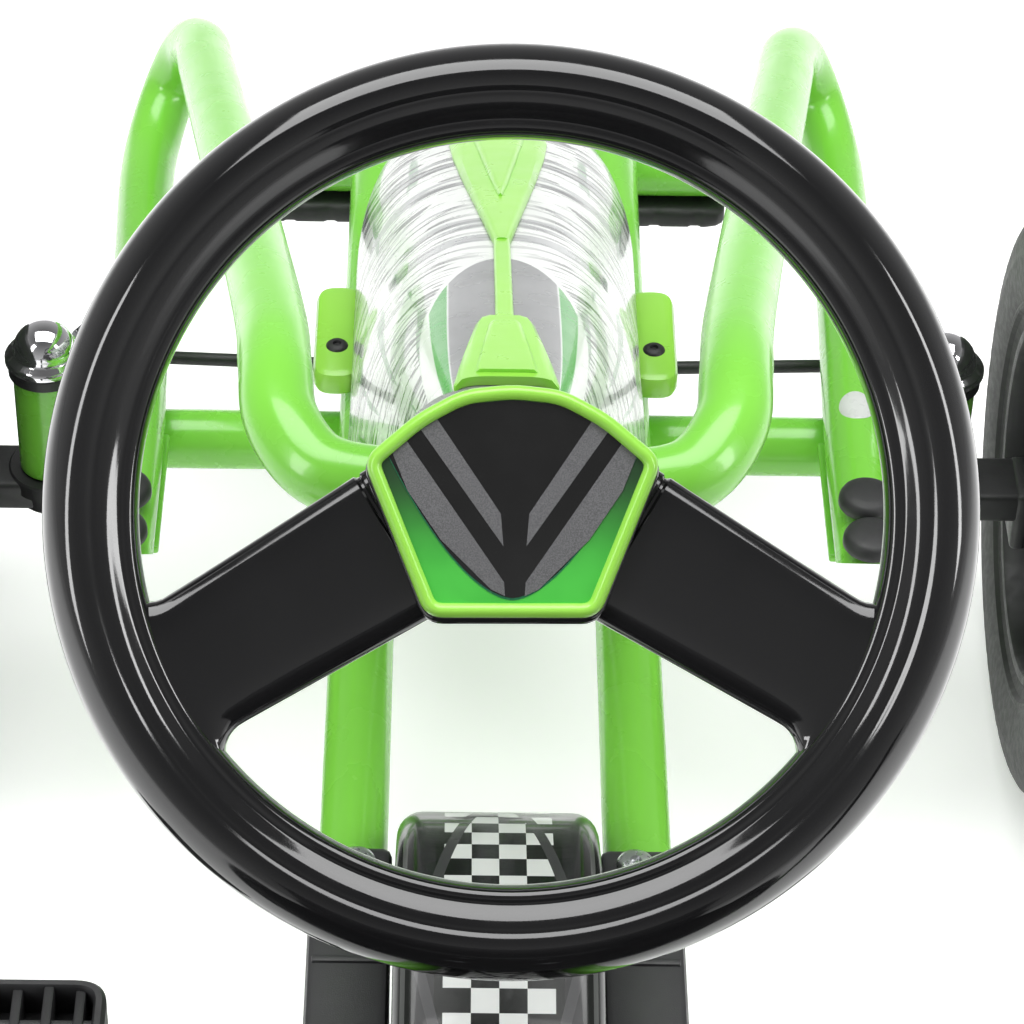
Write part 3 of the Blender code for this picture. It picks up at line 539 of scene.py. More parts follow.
def make_rails():
    for side, tag in SIDES:
        x = side * RAIL_X
        bm = bmesh.new()
        add_tube(bm, straight((x, RAIL_REAR_Y, RAIL_Z), (x, RAIL_FRONT_Y, RAIL_Z)), TUBE_R, 40)
        if side > 0:
            stay_end = BRAKE_PIVOT.x - 0.0035
            add_tube(bm, straight((x, BRAKE_PIVOT.y, RAIL_Z), (stay_end, BRAKE_PIVOT.y, RAIL_Z)),
                     0.009, 32)
        piece("rail_tube_" + tag, bm, "green_paint", "frame", ["rail_" + tag])
        bm = bmesh.new()
        for y, out in ((RAIL_REAR_Y, -1.0), (RAIL_FRONT_Y, 1.0)):
            profile = [(0.0, 0.0052), (0.006, 0.0050), (0.0105, 0.0036), (TUBE_R + 0.0002, 0.0010),
                       (TUBE_R + 0.0002, 0.0), (0.0, 0.0)]
            lathe(bm, profile, facing(x, y, RAIL_Z, (0, out, 0)), 32)
        piece("rail_end_plugs_" + tag, bm, "matte_black", "frame")


def make_beams():
    y = FRONT_AXLE.y
    for name, node, half, place_y in (("axle_beam_tube", "front_axle_beam", BEAM_HIGH[0], y),
                                      ("crossmember_tube", "front_crossmember", CROSS_HIGH[0],
                                       CROSS_Y)):
        bm = bmesh.new()
        add_tube(bm, straight((-half, place_y, BEAM_Z), (half, place_y, BEAM_Z)), TUBE_R, 40)
        piece(name, bm, "green_paint", "frame", [node])
    bm = bmesh.new()
    for side, _tag in SIDES:
        for cross_y in (y, CROSS_Y):
            for way in (-1, 1):
                add_saddle_weld(bm, side * RAIL_X, cross_y, way)
        add_weld(bm, facing(side * (KINGPIN_X - SLEEVE_R - 0.0012), y, BEAM_Z, (1, 0, 0)),
                 TUBE_R + 0.0006, 0.0021)
    add_weld(bm, facing(RAIL_X + TUBE_R - 0.0005, BRAKE_PIVOT.y, RAIL_Z, (1, 0, 0)), 0.0095,
             0.0018, 18, 8, 72)
    piece("frame_weld_beads", bm, "green_paint", "frame")


def add_saddle_weld(bm, x, y, way):
    """A short rippled bead in the notch where a rail sits on a cross tube."""
    gap_z = (RAIL_Z + BEAM_Z) / 2.0
    path, length = [], 0.018
    for k in range(19):
        share = k / 18.0
        path.append(Vector((x + way * 0.0078, y + (share - 0.5) * length, gap_z)))
    rings = []
    for k, point in enumerate(path):
        share = abs(k / 9.0 - 1.0)
        reach = 0.0030 * math.sqrt(max(0.05, 1.0 - share ** 2)) * (1.0 + 0.12 * (k % 2))
        rings.append(ring_round(point, ACROSS, Vector((0, 0, 1)), reach, 10))
    skin(bm, rings)


def hoop_path(side):
    start = column(0.119, 0.008, side * 0.0184)
    points = [start] + [Vector((side * x, WHEEL_AT.y + y, z)) for x, y, z in HOOP_AHEAD]
    return smooth_path(points, 10)


def make_hoops():
    for side, tag in SIDES:
        path = hoop_path(side)
        bm = bmesh.new()
        rings = tube_rings(path, TUBE_R, 40)
        for point in (spot for ring in rings for spot in ring):
            if abs(point.x) > HOOP_END_X and point.y < WHEEL_AT.y + HOOP_END_Y + 0.040:
                down = HOOP_AHEAD[-1][2] + TUBE_R - point.z
                point.y = max(point.y, WHEEL_AT.y + HOOP_END_Y + MITRE_SLOPE * down)
        skin(bm, rings)
        piece("hoop_tube_" + tag, bm, "green_paint", "frame", ["hoop_" + tag])
        bm = bmesh.new()
        weld_at = along(path[0] - Vector((side * 0.0006, 0, 0)), path[4])
        add_weld(bm, weld_at, TUBE_R + 0.0004, 0.0021)
        piece("hoop_weld_" + tag, bm, "green_paint", "frame")
        make_hoop_foot(tag)
    make_hoop_label()


def make_hoop_label():
    """A blank oval sticker wrapped over the right hoop's straight rear part."""
    middle = Vector((0.1508, WHEEL_AT.y + 0.3640, 0.1887))
    lean = Vector((0.034, 1.0, -0.068))         # the hoop's direction for each metre ahead
    half_width, half_length = 0.0078, 0.0098
    bm = bmesh.new()
    rings = []
    for share, lift in ((1.0, 0.00005), (0.93, 0.00035), (0.5, 0.00035), (0.0, 0.00035)):
        ring = []
        for k in range(40):
            turn = TAU * k / 40
            bend = half_width * math.cos(turn) * share / TUBE_R
            out = Vector((math.sin(bend), 0.0, math.cos(bend))) * (TUBE_R + lift)
            ring.append(middle + lean * (half_length * math.sin(turn) * share) + out)
        rings.append(ring if share else ring[:1])
    skin(bm, rings, caps=False)
    piece("blank_oval_label", bm, "label_white", "frame")


def make_hoop_foot(tag):
    """Bracket bar under the hoop's end, and the two domed cap nuts on top."""
    low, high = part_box("hoop_bracket_" + tag)
    bm = bmesh.new()
    add_box(bm, (low[0], low[1] + 0.036, low[2]), high, 0.0012, 3)
    piece("hoop_foot_bar_" + tag, bm, "green_paint", "frame", ["hoop_bracket_" + tag])
    for place in ("front", "rear"):
        node = "hoop_cap_nut_" + tag + "_" + place
        low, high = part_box(node)
        centre = Vector(((low[0] + high[0]) / 2.0, (low[1] + high[1]) / 2.0, low[2]))
        reach = (high[0] - low[0]) / 2.0
        height = high[2] - low[2]
        shares = [(0.0, 0.62), (0.50, 0.61), (0.80, 0.56), (0.92, 0.47), (0.99, 0.32),
                  (1.0, 0.20), (1.0, 0.06), (0.96, 0.0), (0.0, 0.0)]
        profile = [(reach * share, height * level) for share, level in shares]
        turned("cap_nut_" + tag + "_" + place, profile, Matrix.Translation(centre),
               "matte_black", "frame", [node])


def make_sleeves():
    for side, tag in SIDES:
        low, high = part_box("kingpin_sleeve_" + tag)
        x, y, bore = side * KINGPIN_X, FRONT_AXLE.y, 0.0056
        profile = [(bore, high[2]), (SLEEVE_R - 0.0008, high[2]), (SLEEVE_R, high[2] - 0.0008),
                   (SLEEVE_R, low[2] + 0.0008), (SLEEVE_R - 0.0008, low[2]), (bore, low[2])]
        upright = Matrix.Translation((x, y, 0.0))
        turned("sleeve_tube_" + tag, profile, upright, "green_paint", "frame",
               ["kingpin_sleeve_" + tag], closed=True)
        ring = [(SLEEVE_R + 0.0001, high[2] - 0.0062), (SLEEVE_R + 0.0017, high[2] - 0.0054),
                (SLEEVE_R + 0.0017, high[2] - 0.0008), (SLEEVE_R + 0.0009, high[2] + 0.0001),
                (SLEEVE_R - 0.0010, high[2] + 0.0001), (SLEEVE_R - 0.0004, high[2] - 0.0062)]
        turned("kingpin_bush_" + tag, ring, upright, "matte_black", "frame", closed=True)
        low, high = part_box("kingpin_cap_" + tag)
        brim, base, tall = (high[0] - low[0]) / 2.0, low[2], high[2] - low[2]
        reach, shoulder = brim - 0.0038, 0.0056
        dome = [(reach * math.sin(angle), base + shoulder + (tall - shoulder) * math.cos(angle))
                for angle in (math.radians(9 * k) for k in range(11))]
        dome += [(reach + 0.0006, base + 0.0046), (brim - 0.0008, base + 0.0036),
                 (brim, base + 0.0024), (brim, base + 0.0006), (brim - 0.0006, base),
                 (0.0, base)]
        turned("kingpin_dome_" + tag, dome, upright, "chrome", "knuckle_" + tag,
               ["kingpin_cap_" + tag], 56)


def make_bumper():
    low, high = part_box("front_bumper")
    bm = bmesh.new()
    profile = rounded([(low[1], low[2]), (high[1], low[2]), (high[1], high[2]),
                       (low[1], high[2])], 0.009, 6)
    stations = [(low[0], 0.72), (low[0] + 0.001, 0.84), (low[0] + 0.004, 0.95),
                (low[0] + 0.009, 1.0)]
    ribs = 11
    for k in range(ribs):
        middle = low[0] + 0.014 + (high[0] - low[0] - 0.028) * k / (ribs - 1)
        stations += [(middle - 0.0032, 1.0), (middle - 0.0018, 0.955), (middle + 0.0018, 0.955),
                     (middle + 0.0032, 1.0)]
    stations += [(high[0] - 0.009, 1.0), (high[0] - 0.004, 0.95), (high[0] - 0.001, 0.84),
                 (high[0], 0.72)]
    centre_y, centre_z = (low[1] + high[1]) / 2.0, (low[2] + high[2]) / 2.0
    rings = [[(x, centre_y + (p.x - centre_y) * share, centre_z + (p.y - centre_z) * share)
              for p in profile] for x, share in stations]
    skin(bm, rings)
    piece("bumper_pad", bm, "matte_black", "frame", ["front_bumper"])


def make_axle_brackets():
    for side, tag in SIDES:
        low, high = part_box("rear_axle_bracket_" + tag)
        outline = [(REAR_AXLE.y - 0.018, low[2]), (REAR_AXLE.y + 0.018, low[2]),
                   (high[1], 0.150), (high[1], high[2]), (low[1], high[2]), (low[1], 0.150)]
        bm = bmesh.new()
        add_prism(bm, rounded(outline, 0.006), low[0], high[0], ON_EDGE, 0.0008)
        piece("axle_bracket_plate_" + tag, bm, "green_paint", "frame",
              ["rear_axle_bracket_" + tag])
        face = high[0] if side > 0 else low[0]
        bm = bmesh.new()
        hub = [(0.0095, 0.0), (0.0185, 0.0), (0.0185, 0.0030), (0.0165, 0.0052), (0.0095, 0.0056)]
        lathe(bm, hub, facing(face, REAR_AXLE.y, REAR_AXLE.z, (side, 0, 0)), 40, closed=True)
        for dy in (-0.020, 0.020):
            add_bolt(bm, facing(face, REAR_AXLE.y + dy, RAIL_Z - 0.018, (side, 0, 0)), 0.008,
                     0.004)
        piece("axle_bearing_" + tag, bm, "steel", "frame")


# ---- steering wheel ----
HUB_RING = [(-0.0444, 0.0155), (-0.0256, -0.0313), (0.0256, -0.0313), (0.0444, 0.0155),
            (0.0285, 0.0290), (0.0150, 0.0362), (0.0, 0.0378), (-0.0150, 0.0362),
            (-0.0285, 0.0290)]
WHEEL_TILT = math.radians(0.6)
HUB_TOP = 0.0133
HUB_BASE = 0.0073
SPOKE_DROP = math.radians(31.0)
SPOKE_WIDTH = 0.047
SPOKE_RISE = 0.0107         # the spokes' middle lines cross this far above the wheel's middle
SPOKE_RISES_AT = 0.099
SPOKE_SEAM = (0.0388, 0.0405)           # the moulded groove beside the hub
RIM_SECTION = [(0.1112, -0.002), (0.1111, 0.0035), (0.1122, 0.0078), (0.1142, 0.0092),
               (0.1160, 0.0090), (0.1176, 0.0100), (0.1200, 0.0118), (0.1225, 0.0128),
               (0.1240, 0.0130), (0.1262, 0.0141), (0.1290, 0.0144), (0.1320, 0.0134),
               (0.1352, 0.0107), (0.1380, 0.0068), (0.1396, 0.0018), (0.1398, -0.0030),
               (0.1382, -0.0080), (0.1345, -0.0120), (0.1290, -0.0142), (0.1225, -0.0140),
               (0.1165, -0.0112), (0.1128, -0.0068)]


def hub_outline(inset=0.0):
    soft = rounded(HUB_RING, 0.0052, 6)
    return scaled_in(soft, inset) if inset else soft


def make_wheel_rim():
    section = smooth_path([(r, 0.0, z) for r, z in RIM_SECTION], 4, closed=True)
    steps = 256
    rings = []
    for k in range(steps):
        turn = TAU * k / steps
        rings.append([on_circle(p.x, turn, p.z) for p in section])
    bm = bmesh.new()
    skin(bm, rings, closed=True)
    for side, _tag in SIDES:
        add_spoke(bm, side)
    hub = [Vector((p.x, p.y - 0.0015)) for p in hub_outline(-0.0004)]
    levels = [(-0.0135, 0.0), (-0.0125, 0.0015), (0.0064, 0.0), (0.0078, 0.0006), (0.0082, 0.0016)]
    rings = []
    for height, inset in levels:
        rings.append([Vector((p.x, p.y, height)) for p in scaled_in(hub, inset)])
    skin(bm, rings)
    boss = [(0.0, -0.0395), (0.0135, -0.0395), (0.0148, -0.0385), (0.0155, -0.030),
            (0.0195, -0.020), (0.0255, -0.0130), (0.0255, -0.010), (0.0, -0.010)]
    lathe(bm, boss, Matrix.Identity(4), 48)
    piece("wheel_rim_and_spokes", bm, "gloss_black", "steering", ["steering_wheel"], 50.0,
          wheel_frame() @ Matrix.Rotation(WHEEL_TILT, 4, "Z"))


def spoke_half_width(reach):
    """Half the spoke's width: a slight taper, and a flare where it meets the rim."""
    meet, flare = 0.1170, 0.0105
    near = max(0.0, min(1.0, (reach - (meet - flare)) / flare))
    taper = 0.0018 * (1.0 - 2.0 * min(1.0, reach / meet))
    return SPOKE_WIDTH / 2.0 + taper + flare * (1.0 - math.sqrt(1.0 - near ** 2))


def add_spoke(bm, side):
    """One broad spoke from the hub to the rim, crowned, with well rounded edges."""
    reaches = [0.022, 0.030, 0.0385, 0.0392, 0.0400, 0.0408, 0.055, 0.070, 0.085, 0.099, 0.105,
               0.108, 0.110, 0.112, 0.114, 0.1155, 0.1170, 0.1190, 0.1205]
    turn = -SPOKE_DROP if side > 0 else math.pi + SPOKE_DROP
    place = Matrix.Translation((0.0, SPOKE_RISE, 0.0)) @ Matrix.Rotation(turn, 4, "Z")
    rings = []
    for reach in reaches:
        half = spoke_half_width(reach)
        near = max(0.0, min(1.0, (reach - SPOKE_RISES_AT) / 0.022))
        top = 0.0072 + 0.0015 * near
        bottom = -0.0120 + 0.002 * near
        if SPOKE_SEAM[0] < reach < SPOKE_SEAM[1]:
            top -= 0.0010
            half -= 0.0008
        middle, tall = (top + bottom) / 2.0, (top - bottom) / 2.0
        ring = []
        for k in range(48):
            angle = TAU * k / 48
            cos, sin = math.cos(angle), math.sin(angle)
            across = half * math.copysign(abs(cos) ** 0.42, cos)
            crown = 1.0 - 0.10 * (across / half) ** 2
            height = middle + tall * math.copysign(abs(sin) ** 0.50, sin) * crown
            ring.append(Vector((reach, across, height)))
        rings.append([place @ point for point in ring])
    skin(bm, rings)


def shield_floor(x):
    """Lower edge of the hub's black shield at a distance from its middle line."""
    return -0.0254 + 0.0923 * MM * (abs(x) / MM) ** 1.7


def shield_outline(margin=0.0):
    """The shield: follows the panel's top edge, and a rounded V below."""
    reach = 0.0362 + margin * 0.5
    lower = [Vector((-reach + 2.0 * reach * k / 40, 0.0)) for k in range(41)]
    lower = [Vector((p.x, shield_floor(p.x) - margin)) for p in lower]
    upper = [(0.0376, 0.0180), (0.0270, 0.0256), (0.0145, 0.0316), (0.0, 0.0330),
             (-0.0145, 0.0316), (-0.0270, 0.0256), (-0.0376, 0.0180)]
    return lower + [Vector(p) for p in upper]


STRIPES = [[(-0.0276, 0.0249), (-0.0226, 0.0278), (-0.0035, -0.0005), (-0.0027, -0.0101)],
           [(-0.0360, 0.0186), (-0.0321, 0.0221), (-0.0025, -0.0207), (-0.0022, -0.0248),
            (-0.0064, -0.0228), (-0.0212, -0.0082), (-0.0310, 0.0062)]]


def crowned(x, y):
    """Height of the hub panel's gently domed face."""
    return 0.0106 + 0.0011 * (1.0 - (x / 0.045) ** 2 - (y / 0.036) ** 2)


def add_decal(bm, outline, lift, wall=0.00012):
    """A thin film with an outline, laid on the domed panel."""
    outline = [Vector(point) for point in outline]
    centre = sum(outline, Vector((0.0, 0.0))) / len(outline)
    area = sum(a.x * b.y - b.x * a.y for a, b in zip(outline, outline[1:] + outline[:1]))
    if area < 0:
        outline.reverse()
    dense = []
    for start, end in zip(outline, outline[1:] + outline[:1]):
        parts = max(1, int((end - start).length / 0.0012))
        dense += [start.lerp(end, k / parts) for k in range(parts)]
    rings = [[Vector((p.x, p.y, crowned(p.x, p.y) + lift - wall)) for p in dense]]
    for share in (1.0, 0.8, 0.6, 0.4, 0.2):
        rings.append([Vector((q.x, q.y, crowned(q.x, q.y) + lift))
                      for q in (centre.lerp(p, share) for p in dense)])
    rings.append([Vector((centre.x, centre.y, crowned(centre.x, centre.y) + lift))])
    skin(bm, rings, caps=False)


def make_hub_cover():
    place = wheel_frame() @ Matrix.Rotation(WHEEL_TILT, 4, "Z")
    bm = bmesh.new()
    outer = hub_outline()
    rings = []
    for inset, height in ((0.0004, HUB_BASE), (0.0, HUB_BASE + 0.0010), (0.0001, 0.0108),
                          (0.0005, 0.0122), (0.0014, 0.0131), (0.0023, HUB_TOP),
                          (0.0033, 0.0130), (0.0041, 0.0122), (0.0044, 0.0112),
                          (0.0045, 0.0098), (0.0048, HUB_BASE)):
        rings.append([Vector((p.x, p.y, height)) for p in scaled_in(outer, inset)])
    skin(bm, rings, closed=True)
    piece("hub_ring", bm, "green_plastic", "steering", ["hub_cover"], 60.0, place)
    bm = bmesh.new()
    add_decal(bm, hub_outline(0.0044), 0.0)
    piece("hub_panel", bm, "hub_green", "steering", (), 30.0, place)
    bm = bmesh.new()
    add_decal(bm, shield_outline(0.0007), 0.00012)
    piece("hub_shield_edge", bm, "shield_edge", "steering", (), 30.0, place)
    bm = bmesh.new()
    add_decal(bm, shield_outline(), 0.00024)
    piece("hub_shield", bm, "shield_black", "steering", (), 30.0, place)
    bm = bmesh.new()
    for stripe in STRIPES:
        add_decal(bm, stripe, 0.00036, 0.0001)
        add_decal(bm, [(0.0014 - x, y) for x, y in stripe], 0.00036, 0.0001)
    piece("hub_stripes", bm, "stripe_grey", "steering", (), 30.0, place)


# ---- column, tie rods and knuckles ----
HEAD_AT = 0.119
FOOT_AT = 0.5085
PITMAN_AT = 0.5738
PITMAN_REACH = 0.064
COLUMN_R = 0.008
COLLARS_AT = (0.0455, 0.0960, HEAD_AT + 0.0300)
BALL_X = KINGPIN_X - 0.007
BALL_Y = WHEEL_AT.y + 0.475
ARM_LOW = 0.1385
ARM_THICK = 0.0055
KINGPIN_R = 0.005
FLANGE_R = 0.019
FLANGE_BOTTOM = 0.1305
FACE_BOTTOM = 0.1160
STUB_R = 0.007
KNUCKLE_FACE_X = 0.2325
AXLE_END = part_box("rear_axle")[1][0]


def make_column():
    half, bore = 0.021, 0.0087
    tube = [(bore, half), (0.0160, half), (0.0170, half - 0.0010), (0.0170, -half + 0.0010),
            (0.0160, -half), (bore, -half)]
    turned("head_tube", tube, wheel_frame(HEAD_AT), "green_paint", "frame",
           ["steering_head_tube"], 56, True)
    bm = bmesh.new()
    for way in (-1, 1):
        lip = [(bore, 0.0002), (0.0150, 0.0002), (0.0162, 0.0012), (0.0158, 0.0034),
               (bore, 0.0040)]
        lip = [(radius, way * (half + height)) for radius, height in lip]
        lathe(bm, lip, wheel_frame(HEAD_AT), 48, closed=True)
    piece("head_bushes", bm, "matte_black", "frame")
    upper = [(bore, 0.013), (0.0125, 0.013), (0.0140, 0.0118), (0.0140, 0.0060),
             (0.0155, 0.0050)]
    foot = upper + [(radius, -height) for radius, height in reversed(upper)]
    turned("foot_bush", foot, wheel_frame(FOOT_AT), "matte_black", "frame",
           ["column_foot_bush"], 48, True)
    bm = bmesh.new()
    add_tube(bm, straight(column(0.0403), column(PITMAN_AT + 0.010)), COLUMN_R, 40)
    arm = rounded([(-0.011, -0.012), (0.011, -0.012), (0.010, PITMAN_REACH + 0.008),
                   (0.0, PITMAN_REACH + 0.011), (-0.010, PITMAN_REACH + 0.008)], 0.006, 6)
    add_prism(bm, arm, -0.0025, 0.0025, wheel_frame(PITMAN_AT), 0.0007)
    add_weld(bm, wheel_frame(PITMAN_AT - 0.0030), COLUMN_R + 0.0008, 0.0016, 16, 8, 64)
    piece("column_shaft", bm, "steel", "steering", ["steering_column"])
    bm = bmesh.new()
    collar = [(COLUMN_R - 0.0002, 0.0030), (0.0118, 0.0030), (0.0125, 0.0023),
              (0.0125, -0.0023), (0.0118, -0.0030), (COLUMN_R - 0.0002, -0.0030)]
    for depth in COLLARS_AT:
        lathe(bm, collar, wheel_frame(depth), 40, closed=True)
    piece("column_collars", bm, "matte_black", "steering")


def make_tie_rods():
    for side, tag in SIDES:
        inner = column(PITMAN_AT - side * 0.0068, PITMAN_REACH)
        ball = Vector((side * BALL_X, BALL_Y, ARM_LOW - 0.0045))
        direction = (ball - inner).normalized()
        bm = bmesh.new()
        add_tube(bm, straight(inner + direction * 0.004, ball - direction * 0.004), 0.003, 24,
                 0.0004)
        eye = [(0.0, 0.0040), (0.0066, 0.0038), (0.0078, 0.0028), (0.0080, 0.0),
               (0.0078, -0.0028), (0.0066, -0.0038), (0.0, -0.0040)]
        lathe(bm, eye, facing(*inner, -TO_DRIVER), 36)
        lathe(bm, eye, facing(*ball, (0, 0, 1)), 36)
        for spot, way in ((inner, 1.0), (ball, -1.0)):
            shank = [(0.0034, 0.008), (0.0048, 0.0085), (0.0048, 0.022), (0.0034, 0.0228)]
            lathe(bm, shank, facing(*spot, direction * way), 24, closed=False)
            nut = facing(*(spot + direction * way * 0.0235), direction * way)
            rings = [[nut @ Vector((x, y, h)) for x, y in hexagon(0.0085 - c)]
                     for h, c in ((0.0, 0.0008), (0.0006, 0.0), (0.0034, 0.0), (0.0040, 0.0008))]
            skin(bm, rings)
        piece("tie_rod_bar_" + tag, bm, "matte_black", "tie_rod_" + tag, ["tie_rod_" + tag])


def make_knuckles():
    """Round flange under the sleeve, a foot out to the stub axle, and the steering arm."""
    flange_top = SLEEVE_LOW[2] - 0.0005
    for side, tag in SIDES:
        x, y, z = side * KINGPIN_X, FRONT_AXLE.y, FRONT_AXLE.z
        bm = bmesh.new()
        add_tube(bm, straight((x, y, 0.136), (x, y, SLEEVE_HIGH[2])), KINGPIN_R, 24, 0.0004)
        disc = [(0.0, flange_top), (0.0182, flange_top), (FLANGE_R, flange_top - 0.0008),
                (FLANGE_R, flange_top - 0.0070), (0.0180, flange_top - 0.0078),
                (0.0165, flange_top - 0.0080), (0.0160, FLANGE_BOTTOM + 0.0008),
                (0.0152, FLANGE_BOTTOM), (0.0, FLANGE_BOTTOM)]
        lathe(bm, disc, Matrix.Translation((x, y, 0.0)), 56)
        low_x, high_x = sorted((side * (KINGPIN_X + 0.004), side * KNUCKLE_FACE_X))
        add_box(bm, (low_x, y - 0.014, FLANGE_BOTTOM + 0.001),
                (high_x, y + 0.014, flange_top - 0.001), 0.0025, 3)
        low_x, high_x = sorted((side * (KNUCKLE_FACE_X - 0.008), side * KNUCKLE_FACE_X))
        add_box(bm, (low_x, y - 0.0145, FACE_BOTTOM),
                (high_x, y + 0.0145, flange_top - 0.0005), 0.0025, 3)
        outline = [(side * (KINGPIN_X - 0.008), y), (side * (KINGPIN_X + 0.008), y),
                   (side * (BALL_X + 0.008), BALL_Y + 0.002), (side * BALL_X, BALL_Y + 0.009),
                   (side * (BALL_X - 0.008), BALL_Y + 0.002)]
        add_prism(bm, rounded(outline, 0.006), ARM_LOW, ARM_LOW + ARM_THICK,
                  Matrix.Identity(4), 0.0010)
        piece("knuckle_forging_" + tag, bm, "matte_black", "knuckle_" + tag, ["knuckle_" + tag])
        bm = bmesh.new()
        add_tube(bm, straight((side * (KNUCKLE_FACE_X - 0.006), y, z), (side * AXLE_END, y, z)),
                 STUB_R, 32, 0.0008)
        collar = [(0.0073, 0.0), (0.0115, 0.0), (0.0115, 0.0010), (0.0105, 0.0016),
                  (0.0073, 0.0016)]
        lathe(bm, collar, facing(side * KNUCKLE_FACE_X, y, z, (side, 0, 0)), 36, closed=True)
        piece("stub_axle_" + tag, bm, "steel", "knuckle_" + tag)
        bm = bmesh.new()
        add_bolt(bm, facing(side * BALL_X, BALL_Y, ARM_LOW + ARM_THICK - 0.0001, (0, 0, 1)),
                 0.0085, 0.0040)
        piece("steering_arm_nut_" + tag, bm, "steel", "knuckle_" + tag)


# ---- wheels ----
TYRE_R = FRONT_AXLE.z
BEAD_R = 0.0806
BLOCKS = 34                     # tread blocks round each half of the crown
CROWN_HALF = 0.0208
CROWN_DROP = 0.0047             # how far the crown falls from its middle to its edge
CENTRE_GROOVE = (0.0013, 0.0016)        # half width and depth
SIDE_GROOVE = (0.0108, 0.0009, 0.0013)  # distance from the middle, half width and depth
CROSS_GROOVE = (0.24, 0.0017)           # share of a block's pitch, and depth
SHOULDER_NOTCH = (0.30, 0.0007)         # the same for the notches down the shoulder
SHOULDER_R = 0.112


def tread_drop(across, turn):
    """Depth of the tread grooves at a place on the crown."""
    lane = abs(across)
    if lane > CROWN_HALF - 0.0003:
        return 0.0
    if lane < CENTRE_GROOVE[0]:
        return CENTRE_GROOVE[1]
    if abs(lane - SIDE_GROOVE[0]) < SIDE_GROOVE[1]:
        return SIDE_GROOVE[2]
    shift = 0.5 if across > 0 else 0.0
    slant = turn / TAU * BLOCKS + shift + lane / 0.021 * 0.55
    return CROSS_GROOVE[1] if slant % 1.0 < CROSS_GROOVE[0] else 0.0


def add_tyre(bm, matrix):
    wall = [(BEAD_R, 0.0200), (0.0850, 0.0216), (0.0862, 0.0236), (0.0876, 0.0240),
            (0.0890, 0.0236), (0.0935, 0.0249), (0.1000, 0.0257), (0.1060, 0.0259),
            (0.1068, 0.0260), (0.1078, 0.0260), (0.1086, 0.0257), (0.1130, 0.0252),
            (0.1180, 0.0242), (0.1215, 0.0230), (0.1240, 0.0216)]
    crown = []
    for k in range(33):
        across = CROWN_HALF - 2.0 * CROWN_HALF * k / 32
        crown.append((TYRE_R - CROWN_DROP * (abs(across) / CROWN_HALF) ** 2.6, across))
    profile = wall + crown + [(r, -h) for r, h in reversed(wall)]
    steps = 272
    rings = []
    for k in range(steps):
        turn = TAU * k / steps
        ring = []
        for i, (radius, across) in enumerate(profile):
            if len(wall) <= i < len(wall) + len(crown):
                radius -= tread_drop(across, turn)
            elif radius > SHOULDER_R and (turn / TAU * BLOCKS * 2) % 1.0 < SHOULDER_NOTCH[0]:
                radius -= SHOULDER_NOTCH[1]
            ring.append(matrix @ on_circle(radius, turn, across))
        rings.append(ring)
    skin(bm, rings, closed=True)


def pocket(radius, turn, spokes=6):
    """Share of full depth of the moulded windows between the wheel's spokes."""
    inner, outer = 0.026, 0.0690
    pitch = TAU / spokes
    if radius <= inner or radius >= outer:
        return 0.0
    radial = min(1.0, (radius - inner) / 0.005, (outer - radius) / 0.004)
    phase = (turn / TAU * spokes) % 1.0
    half_spoke, slope = 0.0075 / radius / pitch, 0.0030 / radius / pitch
    side = min(phase, 1.0 - phase)
    edge = max(0.0, min(1.0, (side - half_spoke) / slope))
    return radial * edge


def add_rim(bm, matrix):
    radii = [0.0175, 0.020, 0.0235, 0.026, 0.0285, 0.031, 0.036, 0.042, 0.048, 0.054, 0.060,
             0.0645, 0.067, 0.069, 0.071, 0.0728]
    face = [(r, 0.0068 - 0.0040 * ((r - 0.0175) / 0.055)) for r in radii]
    lip = [(0.0737, 0.0045), (0.0741, 0.0120), (0.0744, 0.0190), (0.0752, 0.0208),
           (0.0770, 0.0213), (0.0790, 0.0211), (0.0799, 0.0200)]
    outer = [(0.0071, 0.0290), (0.0160, 0.0290), (0.0170, 0.0282), (0.0173, 0.0100)] + face + lip
    inner_hub = [(0.0071, -0.0190), (0.0160, -0.0190), (0.0170, -0.0182), (0.0173, -0.0100)]
    inner = [(r, -h) for r, h in reversed(face + lip)] + list(reversed(inner_hub))
    profile = outer + inner
    steps = 216
    rings = []
    for k in range(steps):
        turn = TAU * k / steps
        ring = []
        for radius, height in profile:
            if abs(height) < 0.0075:
                way = 1.0 if height > 0 else -1.0
                height -= way * 0.0046 * pocket(radius, turn) * (abs(height) / 0.0060)
            ring.append(matrix @ on_circle(radius, turn, height))
        rings.append(ring)
    skin(bm, rings, closed=True)


